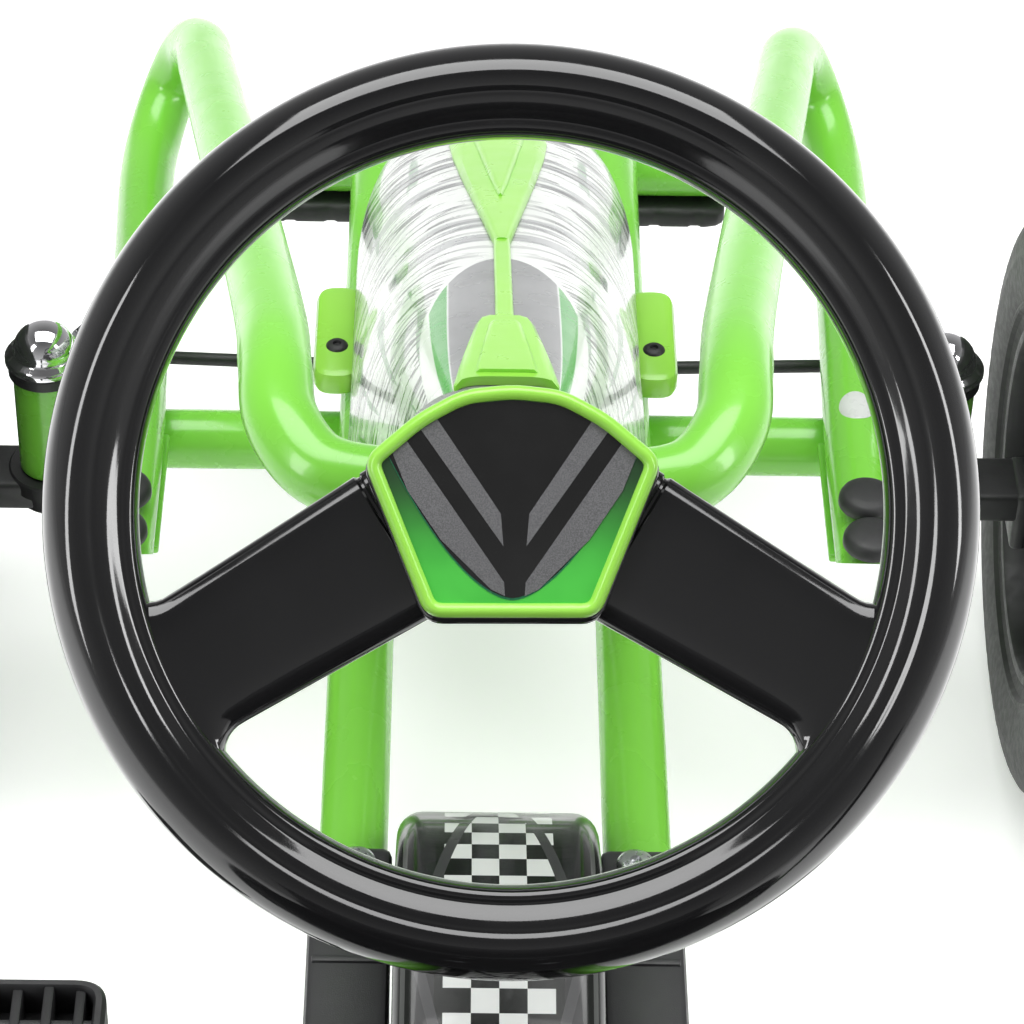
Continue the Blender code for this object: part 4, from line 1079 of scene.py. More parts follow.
def make_wheels():
    for end, axle in (("front", FRONT_AXLE), ("rear", REAR_AXLE)):
        for side, tag in SIDES:
            low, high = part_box("tyre_" + end + "_" + tag)
            centre_x = (low[0] + high[0]) / 2.0
            matrix = facing(centre_x, axle.y, axle.z, (side, 0, 0))
            body = "wheel_front_" + tag if end == "front" else "rear_axle"
            name = end + "_" + tag
            bm = bmesh.new()
            add_tyre(bm, matrix)
            piece("tyre_tread_" + name, bm, "tyre_black", body, ["tyre_" + name], 28.0)
            bm = bmesh.new()
            add_rim(bm, matrix)
            piece("wheel_disc_" + name, bm, "matte_black", body, ["rim_" + name], 35.0)
            base = 0.0293
            cap = [(0.0, base + 0.0150), (0.0050, base + 0.0147), (0.0068, base + 0.0130),
                   (0.0080, base + 0.0128), (0.0120, base + 0.0116), (0.0160, base + 0.0090),
                   (0.0182, base + 0.0055), (0.0190, base + 0.0020), (0.0190, base + 0.0004),
                   (0.0186, base), (0.0, base)]
            turned("hub_cap_" + name, cap, matrix, "green_plastic", body,
                   ["wheel_cap_" + name], 64)
            bm = bmesh.new()
            for k in range(6):
                spoke = matrix @ Matrix.Rotation(TAU * (k + 0.5) / 6, 4, "Z")
                add_bolt(bm, spoke @ Matrix.Translation((0.0222, 0, 0.0060)), 0.0045, 0.0022,
                         False)
            piece("wheel_bolts_" + name, bm, "steel", body)
            valve = matrix @ Matrix.Rotation(TAU / 12.0, 4, "Z") @ Matrix.Translation(
                (0.0735, 0.0, 0.0110)) @ Matrix.Rotation(-math.radians(68), 4, "Y")
            stem = [(0.0, 0.0150), (0.0022, 0.0148), (0.0026, 0.0140), (0.0026, 0.0085),
                    (0.0021, 0.0080), (0.0021, 0.0020), (0.0034, 0.0), (0.0, 0.0)]
            turned("valve_" + name, stem, valve, "rubber_grip", body, (), 20)
    bm = bmesh.new()
    add_tube(bm, straight((-AXLE_END, REAR_AXLE.y, REAR_AXLE.z),
                          (AXLE_END, REAR_AXLE.y, REAR_AXLE.z)), 0.007, 32, 0.0008)
    for side, _tag in SIDES:
        collar = [(0.0072, 0.0), (0.0120, 0.0), (0.0128, 0.0008), (0.0128, 0.0092),
                  (0.0120, 0.0100), (0.0072, 0.0100)]
        spot = facing(side * 0.0770, REAR_AXLE.y, REAR_AXLE.z, (side, 0, 0))
        lathe(bm, collar, spot, 32, closed=True)
        spot = facing(side * (AXLE_END - 0.0605), REAR_AXLE.y, REAR_AXLE.z, (side, 0, 0))
        lathe(bm, collar, spot, 32, closed=True)
    piece("rear_axle_shaft", bm, "steel", "rear_axle", ["rear_axle"])


# ---- chain case, cranks and pedals ----
CASE_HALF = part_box("chain_case")[1][0]
CASE_R_FRONT = 0.095
CASE_R_REAR = 0.046


def belt_loop(front_r, rear_r, spacing=0.004):
    """Outline round the two ends and along both straights, as points in Y and Z."""
    span = Vector((CRANK.y - REAR_AXLE.y, CRANK.z - REAR_AXLE.z))
    tilt = math.atan2(span.y, span.x)
    wrap = math.pi - math.acos((front_r - rear_r) / span.length)
    loop = []
    arc = int(2 * wrap * front_r / spacing)
    for i in range(arc + 1):
        angle = tilt - wrap + 2.0 * wrap * i / arc
        loop.append(Vector((CRANK.y + front_r * math.cos(angle),
                            CRANK.z + front_r * math.sin(angle))))
    back = int(2 * (math.pi - wrap) * rear_r / spacing)
    rear = []
    for i in range(back + 1):
        angle = tilt + wrap + 2.0 * (math.pi - wrap) * i / back
        rear.append(Vector((REAR_AXLE.y + rear_r * math.cos(angle),
                            REAR_AXLE.z + rear_r * math.sin(angle))))
    flat = int((rear[0] - loop[-1]).length / spacing)
    top = [loop[-1].lerp(rear[0], k / flat) for k in range(1, flat)]
    bottom = [rear[-1].lerp(loop[0], k / flat) for k in range(1, flat)]
    return loop + top + rear + bottom


def make_case_paint():
    """Black shell, a band of checks down the middle, grey stripes beside it, and a painted
    highlight line along each rounded edge.
    """
    make = Nodes("chain_case_paint")
    uv = make.add("ShaderNodeUVMap", uv_map="band")
    across, run, _ = make.axes(uv.outputs["UV"])
    check = 0.0094
    columns = make.maths("FLOOR", make.maths("DIVIDE", across, check))
    rows = make.maths("FLOOR", make.maths("DIVIDE", run, check))
    odd = make.maths("ABSOLUTE", make.maths("MODULO", make.maths("ADD", columns, rows), 2.0))
    band = make.maths("LESS_THAN", make.maths("ABSOLUTE", across), 2.0 * check)
    white = make.maths("MULTIPLY", odd, band)
    lane = make.maths("ABSOLUTE", across)
    cycle = make.maths("PINGPONG", make.maths("ADD", run, 0.006), 0.110)
    slant = make.maths("SUBTRACT", lane, make.maths("MULTIPLY", cycle, 0.24))
    chevron = make.maths("COMPARE", slant, 0.0022, 0.0019)
    edge = make.maths("COMPARE", lane, 0.0248, 0.0030)
    # painted highlight: a light grey line on the rounded shoulder near each side wall, where the
    # edge catches the light
    line = make.maths("COMPARE", lane, 0.0322, 0.0008)
    grain = make.noise(2400.0, 2.0)
    cloud = make.span(make.noise(20.0, 3.0), 0.35, 0.65)
    black = make.blend(cloud, rgba(0.0085, 0.0110, 0.0085), rgba(0.0065, 0.0080, 0.0065))
    pale = make.blend(cloud, rgba(0.80, 0.82, 0.80), rgba(0.74, 0.76, 0.74))
    grey = make.blend(grain, rgba(0.045, 0.045, 0.047), rgba(0.062, 0.062, 0.064))
    colour = make.blend(edge, black, rgba(0.022, 0.022, 0.023))
    # lay the painted edge highlight over the shell colour
    colour = make.blend(line, colour, rgba(0.10, 0.105, 0.10))
    colour = make.blend(white, colour, pale)
    colour = make.blend(chevron, colour, grey)
    make.set(Base_Color=colour)
    return make.finish(50.0, 3.0, 0.16, 0.26, grain, 0.03, coat=0.3)


def make_chain_case():
    edge = 0.009
    levels = [(-CASE_HALF + edge * (1 - math.cos(a)), edge * (1 - math.sin(a)))
              for a in (math.radians(15 * k) for k in range(7))]
    lanes = [-0.0245 + 0.0490 * k / 20 for k in range(21)]
    stations = levels + [(x, 0.0) for x in lanes] + [(-x, inset) for x, inset in
                                                      reversed(levels)]
    outline = belt_loop(CASE_R_FRONT, CASE_R_REAR)
    lengths = [0.0]
    for a, b in zip(outline, outline[1:] + outline[:1]):
        lengths.append(lengths[-1] + (b - a).length)
    bm = bmesh.new()
    band = bm.loops.layers.uv.new("band")
    count = len(outline)
    grid = []
    for x, inset in stations:
        loop = scaled_in(outline, inset) if inset > 1e-6 else outline
        grid.append([bm.verts.new((x, p.x, p.y)) for p in loop])
    for s in range(len(stations) - 1):
        for i in range(count):
            j = (i + 1) % count
            face = bm.faces.new([grid[s][i], grid[s][j], grid[s + 1][j], grid[s + 1][i]])
            marks = [(s, lengths[i]), (s, lengths[i + 1]), (s + 1, lengths[i + 1]),
                     (s + 1, lengths[i])]
            for corner, (level, run) in zip(face.loops, marks):
                corner[band].uv = (stations[level][0], run)
    for side, ring in ((-1, grid[0]), (1, grid[-1])):
        add_case_side(bm, side, ring, outline)
    piece("chain_case_shell", bm, make_case_paint(), "frame", ["chain_case"], 32.0)
    bm = bmesh.new()
    for side, _tag in SIDES:
        for spot_y, spot_z, radius in ((CRANK.y, CRANK.z, 0.0165), (REAR_AXLE.y, REAR_AXLE.z,
                                                                     0.0150)):
            flange = [(0.0102, -0.0010), (radius, -0.0010), (radius, 0.0004),
                      (radius - 0.0008, 0.0012), (0.0102, 0.0012)]
            lathe(bm, flange, facing(side * CASE_HALF, spot_y, spot_z, (side, 0, 0)), 40,
                  closed=True)
    piece("chain_case_flanges", bm, "matte_black", "frame")


def add_case_side(bm, side, ring, outline):
    """Side wall with a shallow groove round it, closed by one flat face."""
    count = len(ring)
    previous = ring
    steps = [(0.0125, 0.0), (0.0135, 0.0012), (0.0150, 0.0012), (0.0158, 0.0), (0.024, 0.0)]
    for inset, dip in steps:
        loop = scaled_in(outline, inset)
        current = [bm.verts.new((side * (CASE_HALF - dip), p.x, p.y)) for p in loop]
        for i in range(count):
            j = (i + 1) % count
            bm.faces.new([previous[i], previous[j], current[j], current[i]])
        previous = current
    bm.faces.new(previous)


def make_bearing_blocks():
    """Grey moulding round each rail, with ribs, a boss over the crank and a bolt."""
    for side, tag in SIDES:
        low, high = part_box("crank_bearing_block_" + tag)
        bm = bmesh.new()
        front = high[1]
        step_y = CRANK.y + 0.022
        outline = rounded([(low[1], low[2]), (step_y - 0.004, low[2]), (step_y + 0.012, 0.1735),
                           (front, 0.1735), (front, high[2]), (low[1], high[2])], 0.006, 6)
        add_prism(bm, outline, low[0], high[0], ON_EDGE, 0.0032)
        for y in (CRANK.y + 0.022, CRANK.y + 0.039, CRANK.y + 0.056):
            add_box(bm, (low[0] + 0.002, y - 0.0016, high[2] - 0.004),
                    (high[0] - 0.002, y + 0.0016, high[2] + 0.0011), 0.0008, 2)
        boss = [(0.0078, 0.0), (0.0150, 0.0), (0.0150, 0.0022), (0.0140, 0.0030),
                (0.0078, 0.0030)]
        face = high[0] if side > 0 else low[0]
        lathe(bm, boss, facing(face, CRANK.y, CRANK.z, (side, 0, 0)), 40, closed=True)
        piece("bearing_block_" + tag, bm, "dark_grey", "frame", ["crank_bearing_block_" + tag])
        spot = Vector((side * 0.0505, CRANK.y + 0.0695, high[2]))
        head = [(0.0, 0.0016), (0.0016, 0.0012), (0.0022, 0.0026), (0.0046, 0.0024),
                (0.0066, 0.0012), (0.0070, 0.0002), (0.0, 0.0)]
        turned("block_screw_" + tag, head, Matrix.Translation(spot), "steel", "frame", (), 40)


def make_cranks():
    reach, spindle_r, arm_half = 0.076, 0.007, 0.0052
    pin_length, pin_r = 0.125, 0.0045
    bm = bmesh.new()
    add_tube(bm, straight((-reach, CRANK.y, CRANK.z), (reach, CRANK.y, CRANK.z)), spindle_r, 32)
    for side, tag in SIDES:
        end = joint_at("pedal_" + tag + "_spin")
        start = Vector((side * reach, CRANK.y, CRANK.z))
        flat = Vector((0.0, end.y - start.y, end.z - start.z))
        outline = []
        for centre, radius, first in ((0.0, 0.0135, math.pi), (flat.length, 0.0112, 0.0)):
            for k in range(17):
                spot = on_circle(radius, first + math.pi * k / 16)
                outline.append((spot.x, centre + spot.y))
        up = flat.normalized()
        place = Matrix((ACROSS.cross(up), up, ACROSS)).transposed().to_4x4()
        place = Matrix.Translation(start) @ place
        add_prism(bm, outline, -arm_half, arm_half, place, 0.0024)
        axis = (side, 0, 0)
        tip = Vector((side * reach, end.y, end.z))
        add_tube(bm, straight(tip, tip + Vector(axis) * pin_length), pin_r, 24, 0.0004)
        for spot, radius in ((start, 0.0118), (tip, 0.0090)):
            face = spot + Vector(axis) * arm_half
            ring = [(0.0, 0.0022), (radius * 0.5, 0.0022), (radius * 0.8, 0.0018),
                    (radius * 0.86, 0.0), (0.0, 0.0)]
            lathe(bm, ring, facing(*face, axis), 32)
    piece("crank_forging", bm, "matte_black", "crank", ["crank"])


def make_pedals():
    for _side, tag in SIDES:
        low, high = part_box("pedal_" + tag)
        low, high = Vector(low), Vector(high)
        centre = (low + high) / 2.0
        half = (high - low) / 2.0
        bm = bmesh.new()
        outline = rounded([(-half.x, -half.y), (half.x, -half.y), (half.x, half.y),
                           (-half.x, half.y)], 0.011, 8)
        outline = [Vector(p) for p in outline]
        wall = 0.0042
        tall = half.z
        rings = []
        for inset, height in ((0.0012, -tall), (0.0, -tall + 0.0014), (0.0, tall - 0.0016),
                              (0.0014, tall), (wall - 0.0008, tall), (wall, tall - 0.0010),
                              (wall, -tall + 0.0010), (wall - 0.0008, -tall)):
            loop = scaled_in(outline, inset)
            rings.append([centre + Vector((p.x, p.y, height)) for p in loop])
        skin(bm, rings, closed=True)
        inner_x, inner_y = half.x - wall + 0.0006, half.y - wall + 0.0006
        for k in range(7):
            x = -inner_x + 2 * inner_x * (k + 0.5) / 7
            tread = tall - 0.0004 if k % 2 else tall - 0.0018
            add_box(bm, centre + Vector((x - 0.0017, -inner_y, -tread)),
                    centre + Vector((x + 0.0017, inner_y, tread)), 0.0007, 2)
        for y in (-0.0125, 0.0125):
            add_box(bm, centre + Vector((-inner_x, y - 0.0015, -tall + 0.003)),
                    centre + Vector((inner_x, y + 0.0015, tall - 0.003)), 0.0006, 2)
        add_box(bm, centre + Vector((-inner_x, -inner_y, -0.0068)),
                centre + Vector((inner_x, inner_y, -0.0054)), 0.0004, 2)
        barrel = [(0.0049, -inner_x), (0.0074, -inner_x), (0.0074, inner_x), (0.0049, inner_x)]
        lathe(bm, barrel, facing(*centre, (1, 0, 0)), 32, closed=True)
        piece("pedal_body_" + tag, bm, "matte_black", "pedal_" + tag, ["pedal_" + tag])


# ---- fairing ----
FAIRING_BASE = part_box("fairing")[0][2]
FAIRING_REAR = 0.125
FAIRING_SLANT = 0.125
FAIRING_WALL = 0.0025


def spine_height(y):
    """Top line of the fairing, y metres ahead of the steering wheel."""
    if y < 0.479:
        return 0.4497 - 0.405 * y
    fall = (y - 0.479) / 0.066
    return 0.2557 - 0.0267 * fall - 0.020 * fall ** 3


def fairing_half_width(y):
    grow = max(0.0, min(1.0, (y - FAIRING_REAR) / 0.185))
    shrink = max(0.0, (y - 0.44) / 0.105)
    return 0.026 + 0.0315 * math.sin(grow * math.pi / 2) - 0.022 * shrink ** 2


def fairing_power(y):
    """Roundness of the cross-section: boxy at the rear, close to an ellipse ahead."""
    return 0.40 + 0.45 * max(0.0, min(1.0, (y - FAIRING_REAR) / 0.2))


def fairing_point(y, turn, lift=0.0):
    """Point on the fairing; turn goes from 0 at the right edge to pi at the left one."""
    cos, sin = math.cos(turn), max(0.0, math.sin(turn))
    y += FAIRING_SLANT * (1.0 - sin) * max(0.0, 1.0 - (y - FAIRING_REAR) / 0.2)
    power = fairing_power(y)
    x = (fairing_half_width(y) + lift) * math.copysign(abs(cos) ** power, cos)
    rise = spine_height(y) - FAIRING_BASE + lift
    return Vector((x, WHEEL_AT.y + y, FAIRING_BASE + rise * sin ** power))


def make_fairing_film():
    """White shell with a grey screen, green bands beside it and dark brushed streaks."""
    make = Nodes("fairing_film")
    uv = make.add("ShaderNodeUVMap", uv_map="film")
    across, run, _ = make.axes(uv.outputs["UV"])
    lane = make.maths("ABSOLUTE", across)
    squared = make.maths("MULTIPLY", lane, lane)
    arch = make.maths("SUBTRACT", make.maths("SUBTRACT", 0.280, run),
                      make.maths("MULTIPLY", squared, 64.0))
    screen = make.span(arch, -0.0006, 0.0006)
    grey_lane = make.span(lane, 0.0210, 0.0200)
    green_lane = make.maths("MULTIPLY", make.span(lane, 0.0208, 0.0214),
                            make.span(lane, 0.0300, 0.0290))
    mirrored = make.add("ShaderNodeCombineXYZ")
    make.link(lane, mirrored.inputs[0])
    make.link(run, mirrored.inputs[1])
    flow = mirrored.outputs[0]
    outside = make.span(arch, -0.004, -0.012)
    fine = make.noise(1.0, 2.0, make.stretched((26.0, 300.0, 1.0), (0, 0, 0.62), flow), 0.5, 0.4)
    broad = make.noise(1.0, 1.0, make.stretched((12.0, 120.0, 1.0), (0, 0, 0.55), flow), 0.5, 0.3)
    patch = make.noise(1.0, 1.0, make.stretched((70.0, 12.0, 1.0), (0, 0, 0.35), flow), 0.4, 0.6)
    streak = make.maths("MULTIPLY", make.span(fine, 0.545, 0.575), outside)
    wide = make.maths("MULTIPLY", make.span(broad, 0.560, 0.590), outside)
    green = make.maths("MULTIPLY", make.span(patch, 0.600, 0.660), outside)
    green = make.maths("MULTIPLY", green, make.span(lane, 0.026, 0.042))
    cloud = make.span(make.noise(24.0, 2.0), 0.35, 0.65)
    white = make.blend(cloud, rgba(0.72, 0.74, 0.72), rgba(0.66, 0.68, 0.66))
    colour = make.blend(make.maths("MULTIPLY", green, 0.85), white, rgba(0.018, 0.170, 0.036))
    colour = make.blend(make.maths("MULTIPLY", wide, 0.80), colour, rgba(0.24, 0.25, 0.26))
    colour = make.blend(make.maths("MULTIPLY", streak, make.span(lane, 0.010, 0.030, 0.35, 0.96)),
                        colour, rgba(0.030, 0.034, 0.036))
    inside = make.blend(grey_lane, rgba(0.70, 0.72, 0.70),
                        make.blend(cloud, rgba(0.200, 0.205, 0.210), rgba(0.235, 0.240, 0.245)))
    inside = make.blend(green_lane, inside, rgba(0.045, 0.330, 0.050))
    make.set(Base_Color=make.blend(screen, colour, inside))
    return make.finish(60.0, 3.0, 0.20, 0.30, make.noise(1500.0), 0.03, coat=0.4)


def make_fairing():
    stations = [FAIRING_REAR + 0.420 * k / 68 for k in range(69)]
    count = 72
    bm = bmesh.new()
    film = bm.loops.layers.uv.new("film")
    turns = [math.pi * k / count for k in range(count + 1)]
    outer = [[fairing_point(y, turn, FAIRING_WALL) for turn in turns] for y in stations]
    inner = [[fairing_point(y, turn) for turn in turns] for y in stations]
    grids = []
    for rows in (outer, inner):
        grids.append([[bm.verts.new(p) for p in row] for row in rows])
    arcs = []
    for row in outer:
        middle = count // 2
        run = [0.0] * (count + 1)
        for k in range(middle + 1, count + 1):
            run[k] = run[k - 1] + (row[k] - row[k - 1]).length
        for k in range(middle - 1, -1, -1):
            run[k] = run[k + 1] - (row[k + 1] - row[k]).length
        arcs.append(run)
    for grid in grids:
        for i in range(len(stations) - 1):
            for k in range(count):
                marks = [(i, k), (i, k + 1), (i + 1, k + 1), (i + 1, k)]
                face = bm.faces.new([grid[a][b] for a, b in marks])
                for corner, (a, b) in zip(face.loops, marks):
                    corner[film].uv = (arcs[a][b], outer[a][b].y - WHEEL_AT.y)
    for i in range(len(stations) - 1):
        for k in (0, count):
            bm.faces.new([grids[0][i][k], grids[0][i + 1][k], grids[1][i + 1][k],
                          grids[1][i][k]])
    for i in (0, len(stations) - 1):
        for k in range(count):
            bm.faces.new([grids[0][i][k], grids[0][i][k + 1], grids[1][i][k + 1],
                          grids[1][i][k]])
    piece("fairing_shell", bm, make_fairing_film(), "frame", ["fairing"], 50.0)


def over_fairing(y, x, lift):
    """Point a little above the fairing at a sideways distance x."""
    power = fairing_power(y)
    share = min(0.98, (abs(x) / (fairing_half_width(y) + FAIRING_WALL)) ** (1.0 / power))
    rise = spine_height(y) + FAIRING_WALL - FAIRING_BASE
    return Vector((x, WHEEL_AT.y + y,
                   FAIRING_BASE + rise * math.sqrt(1.0 - share * share) ** power + lift))


def add_spine_strip(bm, stations, tall=0.0034, edge=0.0012):
    """A moulded strip over the crest; stations are (y, half width) pairs."""
    lanes = [-1.0 + 2.0 * k / 16 for k in range(17)]
    rings = []
    for y, half in stations:
        ring = []
        for lane in lanes:
            x = lane * half
            near = (1.0 - abs(lane)) * half
            drop = edge * max(0.0, 1.0 - near / edge) ** 2
            ring.append(over_fairing(y, x, tall - drop))
        for lane in reversed(lanes):
            ring.append(over_fairing(y, lane * half, 0.0002))
        rings.append(ring)
    skin(bm, rings)


def refined(stations, parts=4):
    result = []
    for (y0, h0), (y1, h1) in zip(stations, stations[1:]):
        result += [(y0 + (y1 - y0) * k / parts, h0 + (h1 - h0) * k / parts)
                   for k in range(parts)]
    return result + [stations[-1]]


def make_spine():
    bm = bmesh.new()
    add_spine_strip(bm, refined([(0.1285, 0.0172), (0.1305, 0.0178), (0.190, 0.0103),
                                 (0.1955, 0.0090), (0.1975, 0.0070)]), 0.0040, 0.0016)
    add_spine_strip(bm, refined([(0.1330, 0.0104), (0.1345, 0.0108), (0.1860, 0.0058),
                                 (0.1885, 0.0048)]), 0.0054, 0.0014)
    add_spine_strip(bm, refined([(0.194, 0.0033), (0.230, 0.0032), (0.265, 0.0032),
                                 (0.306, 0.0031)], 6), 0.0032, 0.0010)
    add_spine_strip(bm, refined([(0.297, 0.0030), (0.304, 0.0040), (0.350, 0.0096),
                                 (0.390, 0.0146), (0.430, 0.0190), (0.454, 0.0207),
                                 (0.468, 0.0198), (0.4745, 0.0165)]), 0.0040, 0.0022)
    add_spine_strip(bm, refined([(0.357, 0.0008), (0.372, 0.0030), (0.405, 0.0066),
                                 (0.445, 0.0106), (0.462, 0.0118), (0.4685, 0.0106)]), 0.0062,
                    0.0020)
    piece("spine_trim", bm, "green_plastic", "frame", ["fairing_spine"], 40.0)


def make_tabs():
    for _side, tag in SIDES:
        low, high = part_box("fairing_tab_" + tag)
        low = Vector(low) - Vector((0.0022, 0.0120, 0.0))
        high = Vector(high) + Vector((0.0022, 0.0140, 0.0))
        bm = bmesh.new()
        outline = rounded([(low.x, low.y), (high.x, low.y), (high.x, high.y), (low.x, high.y)],
                          0.009, 8)
        add_prism(bm, outline, low.z, high.z, Matrix.Identity(4), 0.0034)
        piece("fairing_ear_" + tag, bm, "green_plastic", "frame", ["fairing_tab_" + tag])
        centre = Vector(((low.x + high.x) / 2.0, low.y + 0.020, high.z - 0.0006))
        head = [(0.0, 0.0008), (0.0014, 0.0008), (0.0018, 0.0020), (0.0036, 0.0018),
                (0.0046, 0.0008), (0.0048, 0.0), (0.0, 0.0)]
        turned("fairing_screw_" + tag, head, Matrix.Translation(centre), "matte_black", "frame",
               (), 32)


# ---- seat ----
SEAT_LINE = [(-0.150, 0.250), (-0.170, 0.244), (-0.230, 0.236), (-0.300, 0.233),
             (-0.360, 0.238), (-0.405, 0.258), (-0.430, 0.300), (-0.445, 0.360),
             (-0.458, 0.430), (-0.472, 0.500), (-0.484, 0.545), (-0.500, 0.567)]
SEAT_RIBS = ((0.52, 0.90, 0.42, 0.0020, 0.105),     # first, last, half width, height, pitch
             (0.10, 0.36, 0.40, -0.0016, 0.20))


def seat_row(i):
    """Numbers of one seat row: place, inward direction, half width and wing height."""
    count = len(SEAT_LINE)
    here = Vector(SEAT_LINE[i])
    before = Vector(SEAT_LINE[max(0, i - 1)])
    after = Vector(SEAT_LINE[min(count - 1, i + 1)])
    tangent = (after - before).normalized()
    inward = Vector((tangent.y, -tangent.x))
    upper = max(0.0, (i - 7) / (count - 8))
    wing = 0.075 * math.sin(math.pi * min(1.0, (i + 0.6) / 9.0)) ** 0.7
    wing = max(wing, 0.018) if i < 9 else 0.020
    return here, inward, 0.168 - 0.050 * upper, wing


def seat_rib(up, lane, first, last, half, height, pitch):
    """Lift of a ribbed patch between two heights up the seat, fading out at its edges."""
    fade = min(1.0, (up - first) / 0.04, (last - up) / 0.04, (half - abs(lane)) / 0.06)
    return max(0.0, fade) * height * (0.5 + 0.5 * math.cos(lane / pitch * TAU))


def seat_rows(samples=7, across=48):
    """Fine rows of points over the bucket, with shallow ribs up the back."""
    coarse = [seat_row(i) for i in range(len(SEAT_LINE))]
    knots = [Vector((here.x, here.y, half)) for here, _in, half, _wing in coarse]
    others = [Vector((inward.x, inward.y, wing)) for _here, inward, _half, wing in coarse]
    fine = zip(smooth_path(knots, samples), smooth_path(others, samples))
    rows = []
    total = samples * (len(SEAT_LINE) - 1)
    for i, (place, other) in enumerate(fine):
        inward = Vector((other.x, other.y)).normalized()
        row = []
        up = i / total
        for k in range(across + 1):
            lane = 2.0 * k / across - 1.0
            lift = other.z * max(0.0, (abs(lane) - 0.45) / 0.55) ** 1.8
            for patch in SEAT_RIBS:
                lift += seat_rib(up, lane, *patch)
            row.append(Vector((lane * place.z, WHEEL_AT.y + place.x + inward.x * lift,
                               place.y + inward.y * lift)))
        rows.append(row)
    return rows


def make_seat():
    rows = seat_rows()
    wall = 0.0046
    count, across = len(rows), len(rows[0])
    normals = []
    for i in range(count):
        line = []
        for k in range(across):
            down = rows[min(count - 1, i + 1)][k] - rows[max(0, i - 1)][k]
            over = rows[i][min(across - 1, k + 1)] - rows[i][max(0, k - 1)]
            line.append(over.cross(down).normalized())
        normals.append(line)
    bm = bmesh.new()
    sheets = []
    for way in (-0.5, 0.5):
        sheets.append([[bm.verts.new(rows[i][k] + normals[i][k] * wall * way)
                        for k in range(across)] for i in range(count)])
    for sheet in sheets:
        for i in range(count - 1):
            for k in range(across - 1):
                bm.faces.new([sheet[i][k], sheet[i][k + 1], sheet[i + 1][k + 1],
                              sheet[i + 1][k]])
    rim = [(0, k) for k in range(across)] + [(i, across - 1) for i in range(1, count)]
    rim += [(count - 1, k) for k in range(across - 2, -1, -1)]
    rim += [(i, 0) for i in range(count - 2, 0, -1)]
    for (a, b), (c, d) in zip(rim, rim[1:] + rim[:1]):
        bm.faces.new([sheets[0][a][b], sheets[0][c][d], sheets[1][c][d], sheets[1][a][b]])
    piece("seat_shell", bm, "seat_black", "seat", ["seat"], 50.0)
    bm = bmesh.new()
    path = [rows[a][b] for a, b in rim]
    rings = []
    for centre, (side, up) in zip(path, frames_along(path, True)):
        rings.append(ring_round(centre, side, up, wall, 16))
    skin(bm, rings, closed=True)
    piece("seat_lip", bm, "seat_black", "seat", (), 60.0)
    bm = bmesh.new()
    for x in (-0.032, 0.032):
        for y in (-0.330, -0.225):
            add_bolt(bm, facing(x, WHEEL_AT.y + y, 0.2372, (0, 0, 1)), 0.009, 0.003)
    piece("seat_bolts", bm, "steel", "seat")


def make_seat_bracket():
    low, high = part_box("seat_bracket")
    foot, top, reach, wall = low[2], high[2], high[0], 0.003
    outline = [(-reach, foot), (-reach + 0.018, foot), (-reach + 0.018, top - wall),
               (reach - 0.018, top - wall), (reach - 0.018, foot), (reach, foot),
               (reach, foot + wall), (reach - 0.015, foot + wall), (reach - 0.015, top),
               (-reach + 0.015, top), (-reach + 0.015, foot + wall), (-reach, foot + wall)]
    soft = rounded(outline, 0.0014, 3)
    upright = Matrix(((1, 0, 0, 0), (0, 0, 1, 0), (0, 1, 0, 0), (0, 0, 0, 1)))
    bm = bmesh.new()
    rings = [[upright @ Vector((p.x, p.y, y)) for p in soft] for y in (low[1], high[1])]
    skin(bm, rings)
    piece("seat_channel", bm, "matte_black", "seat", ["seat_bracket"])


def make_seat_knob():
    """Clamp screw with a lobed hand knob."""
    centre = joint_at("seat_knob_turn")
    bm = bmesh.new()
    matrix = facing(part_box("seat_knob")[0][0], centre.y, centre.z, (1, 0, 0))
    lobes, swell, steps = 7, 0.0008, 112
    profile = [(0.0, 0.038, 0.0), (0.0090, 0.0376, 0.0), (0.0122, 0.0360, 0.3),
               (0.0142, 0.0325, 0.9), (0.0146, 0.0290, 1.0), (0.0146, 0.0215, 1.0),
               (0.0140, 0.0185, 0.9), (0.0115, 0.0166, 0.3), (0.0075, 0.0158, 0.0),
               (0.0050, 0.0150, 0.0), (0.0050, 0.0004, 0.0), (0.0, 0.0, 0.0)]
    rings = []
    for radius, height, wave in profile:
        if radius == 0.0:
            rings.append([matrix @ Vector((0.0, 0.0, height))])
            continue
        ring = []
        for turn in (TAU * k / steps for k in range(steps)):
            ring.append(matrix @ on_circle(radius + swell * wave * math.cos(lobes * turn), turn,
                                           height))
        rings.append(ring)
    skin(bm, rings, caps=False)
    piece("clamp_knob", bm, "matte_black", "seat_knob", ["seat_knob"])


# ---- brake ----
BRAKE_LEAN = math.radians(75.0)
BRAKE_LENGTH = 0.240
SHOE_ANGLE = math.radians(152.6)
SHOE_REACH = 0.047
SHOE_HALF = 0.0045
SHOE_OUT = 0.066                # how far the shoe's bar reaches out over the tyre
BAR_HALF = 0.003


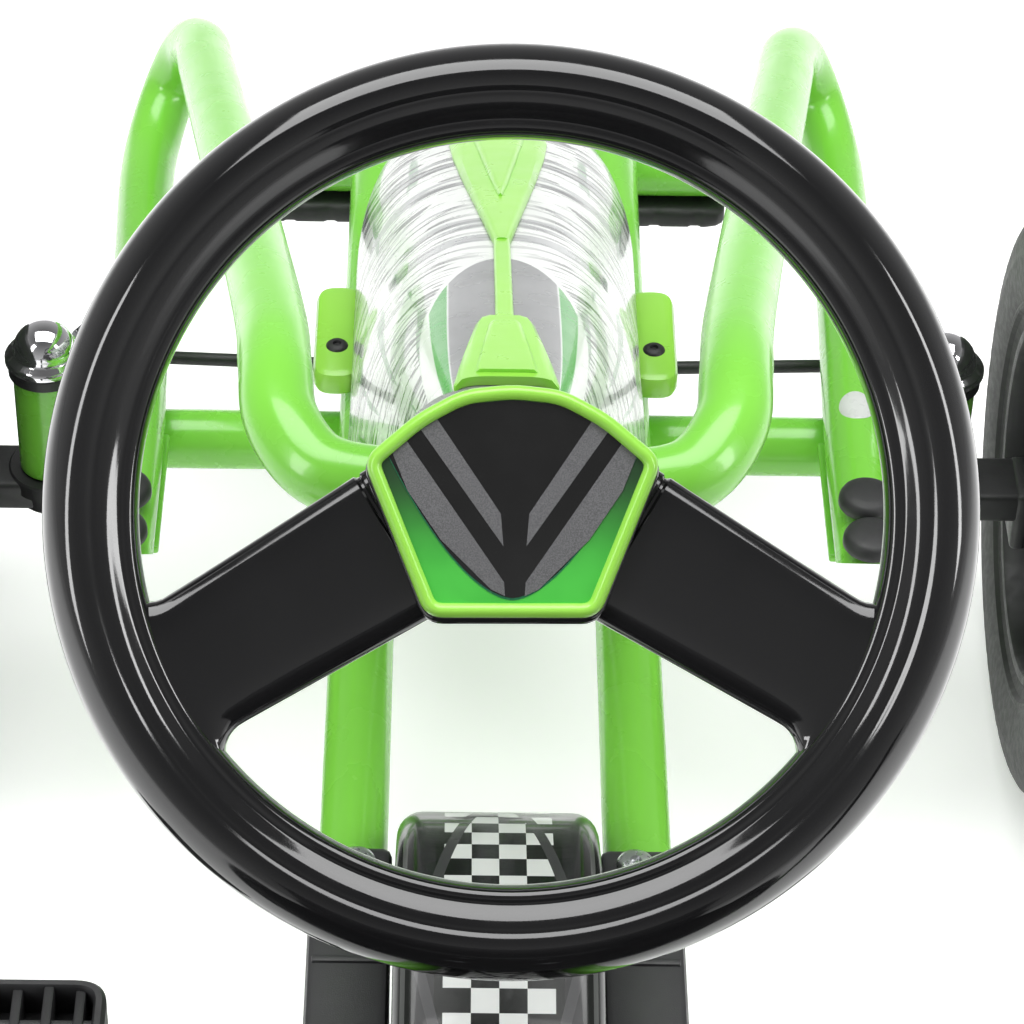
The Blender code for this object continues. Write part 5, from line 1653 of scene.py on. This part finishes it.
def make_brake():
    lever_at = Matrix.Translation(BRAKE_PIVOT) @ Matrix.Rotation(BRAKE_LEAN - math.pi / 2, 4, "X")
    shoe_at = Matrix.Translation(BRAKE_PIVOT) @ Matrix.Rotation(SHOE_ANGLE - math.pi / 2, 4, "X")
    bm = bmesh.new()
    outline = rounded([(-0.008, -0.012), (0.008, -0.012), (0.0078, BRAKE_LENGTH),
                       (-0.0078, BRAKE_LENGTH)], 0.0066, 6)
    add_prism(bm, outline, -BAR_HALF, BAR_HALF, lever_at @ ON_EDGE, 0.0007)
    outline = rounded([(-0.007, -0.005), (0.007, -0.005), (0.007, SHOE_REACH + 0.005),
                       (-0.007, SHOE_REACH + 0.005)], 0.003, 4)
    add_prism(bm, outline, -BAR_HALF, BAR_HALF, shoe_at @ ON_EDGE, 0.0007)
    add_box(bm, (0.0, -SHOE_HALF + 0.001, SHOE_REACH - 0.004),
            (SHOE_OUT - 0.002, SHOE_HALF - 0.001, SHOE_REACH + 0.004), 0.001, 2, shoe_at)
    piece("brake_bar", bm, "steel", "brake", ["brake_lever"])
    bm = bmesh.new()
    add_box(bm, (0.024, -SHOE_HALF, SHOE_REACH - 0.005),
            (SHOE_OUT, SHOE_HALF, SHOE_REACH + 0.005), 0.0012, 2, shoe_at)
    piece("brake_pad", bm, "rubber_grip", "brake")
    bm = bmesh.new()
    add_bolt(bm, facing(BRAKE_PIVOT.x + BAR_HALF, BRAKE_PIVOT.y, BRAKE_PIVOT.z, (1, 0, 0)), 0.010,
             0.004)
    piece("brake_pivot_bolt", bm, "steel", "brake")
    start, end = BRAKE_LENGTH - 0.090, BRAKE_LENGTH + 0.010
    profile = [(0.0, start), (0.0100, start), (0.0119, start + 0.0012), (0.0122, start + 0.0040),
               (0.0108, start + 0.0060)]
    ribs = 13
    for k in range(ribs):
        base = start + 0.0070 + (end - start - 0.022) * k / ribs
        profile += [(0.0105, base), (0.0113, base + 0.0008), (0.0113, base + 0.0036),
                    (0.0105, base + 0.0046)]
    profile += [(0.0106, end - 0.0130), (0.0119, end - 0.0115), (0.0122, end - 0.0060),
                (0.0112, end - 0.0022), (0.0080, end - 0.0005), (0.0, end)]
    turned("brake_grip_sleeve", profile, lever_at, "rubber_grip", "brake", ["brake_grip"])


# ---- carried-over nodes, floor and light ----
def finish_hidden_drive():
    """The chain, chainring and sprocket inside the case keep their CAD shape."""
    for node in ("drive_chain", "chainring", "rear_sprocket"):
        data = frame["nodes"][node].data
        data.materials.clear()
        data.materials.append(MATERIALS["steel"])


def make_floor():
    make = Nodes("floor_white")
    make.set(Base_Color=make.shades(1.2, 2.0, rgba(0.94, 0.94, 0.94), rgba(0.925, 0.925, 0.925),
                                    0.3, 0.7))
    make.set(Roughness=make.span(make.noise(3.0), 0.3, 0.7, 0.78, 0.86))
    make.set(Emission_Color=rgba(1.0, 1.0, 1.0), Emission_Strength=0.38)
    half = 9.0
    bm = bmesh.new()
    bmesh.ops.create_grid(bm, x_segments=8, y_segments=8, size=half)
    data = bpy.data.meshes.new("studio_floor")
    bm.to_mesh(data)
    bm.free()
    data.materials.append(make.material)
    floor = bpy.data.objects.new("studio_floor", data)
    bpy.context.scene.collection.objects.link(floor)


def add_light(name, place, target, size, power):
    data = bpy.data.lights.new(name, "AREA")
    data.shape = "RECTANGLE"
    data.size, data.size_y = size
    data.energy = power
    lamp = bpy.data.objects.new(name, data)
    place, target = Vector(place), Vector(target)
    turn = (target - place).to_track_quat("-Z", "Y").to_matrix().to_4x4()
    lamp.matrix_world = Matrix.Translation(place) @ turn
    bpy.context.scene.collection.objects.link(lamp)


def make_light():
    world = bpy.data.worlds.new("studio")
    world.use_nodes = True
    tree = world.node_tree
    ground = tree.nodes["Background"]
    places = tree.nodes.new("ShaderNodeTexCoord")
    parts = tree.nodes.new("ShaderNodeSeparateXYZ")
    ramp = tree.nodes.new("ShaderNodeMapRange")
    tree.links.new(places.outputs["Generated"], parts.inputs[0])
    tree.links.new(parts.outputs["Z"], ramp.inputs["Value"])
    for key, number in (("From Min", 0.0), ("From Max", 0.9), ("To Min", 0.50),
                        ("To Max", 0.13)):
        ramp.inputs[key].default_value = number
    tree.links.new(ramp.outputs["Result"], ground.inputs["Strength"])
    ground.inputs["Color"].default_value = (1.0, 1.0, 1.0, 1.0)
    bpy.context.scene.world = world
    add_light("overhead_box", (0.0, 0.5, 2.6), (0.0, 0.1, 0.0), (2.6, 1.8), 76.0)
    add_light("left_strip", (-1.8, -1.1, 1.5), (0.0, 0.0, 0.3), (0.5, 1.8), 22.0)
    add_light("right_strip", (1.9, -0.6, 1.4), (0.0, 0.0, 0.3), (0.4, 1.6), 18.0)
    bpy.context.scene.view_settings.view_transform = "Standard"


make_camera()
make_rails()
make_beams()
make_hoops()
make_sleeves()
make_bumper()
make_axle_brackets()
make_wheel_rim()
make_hub_cover()
make_column()
make_tie_rods()
make_knuckles()
make_wheels()
make_chain_case()
make_bearing_blocks()
make_cranks()
make_pedals()
make_fairing()
make_spine()
make_tabs()
make_seat()
make_seat_bracket()
make_seat_knob()
make_brake()
finish_hidden_drive()
make_floor()
make_light()
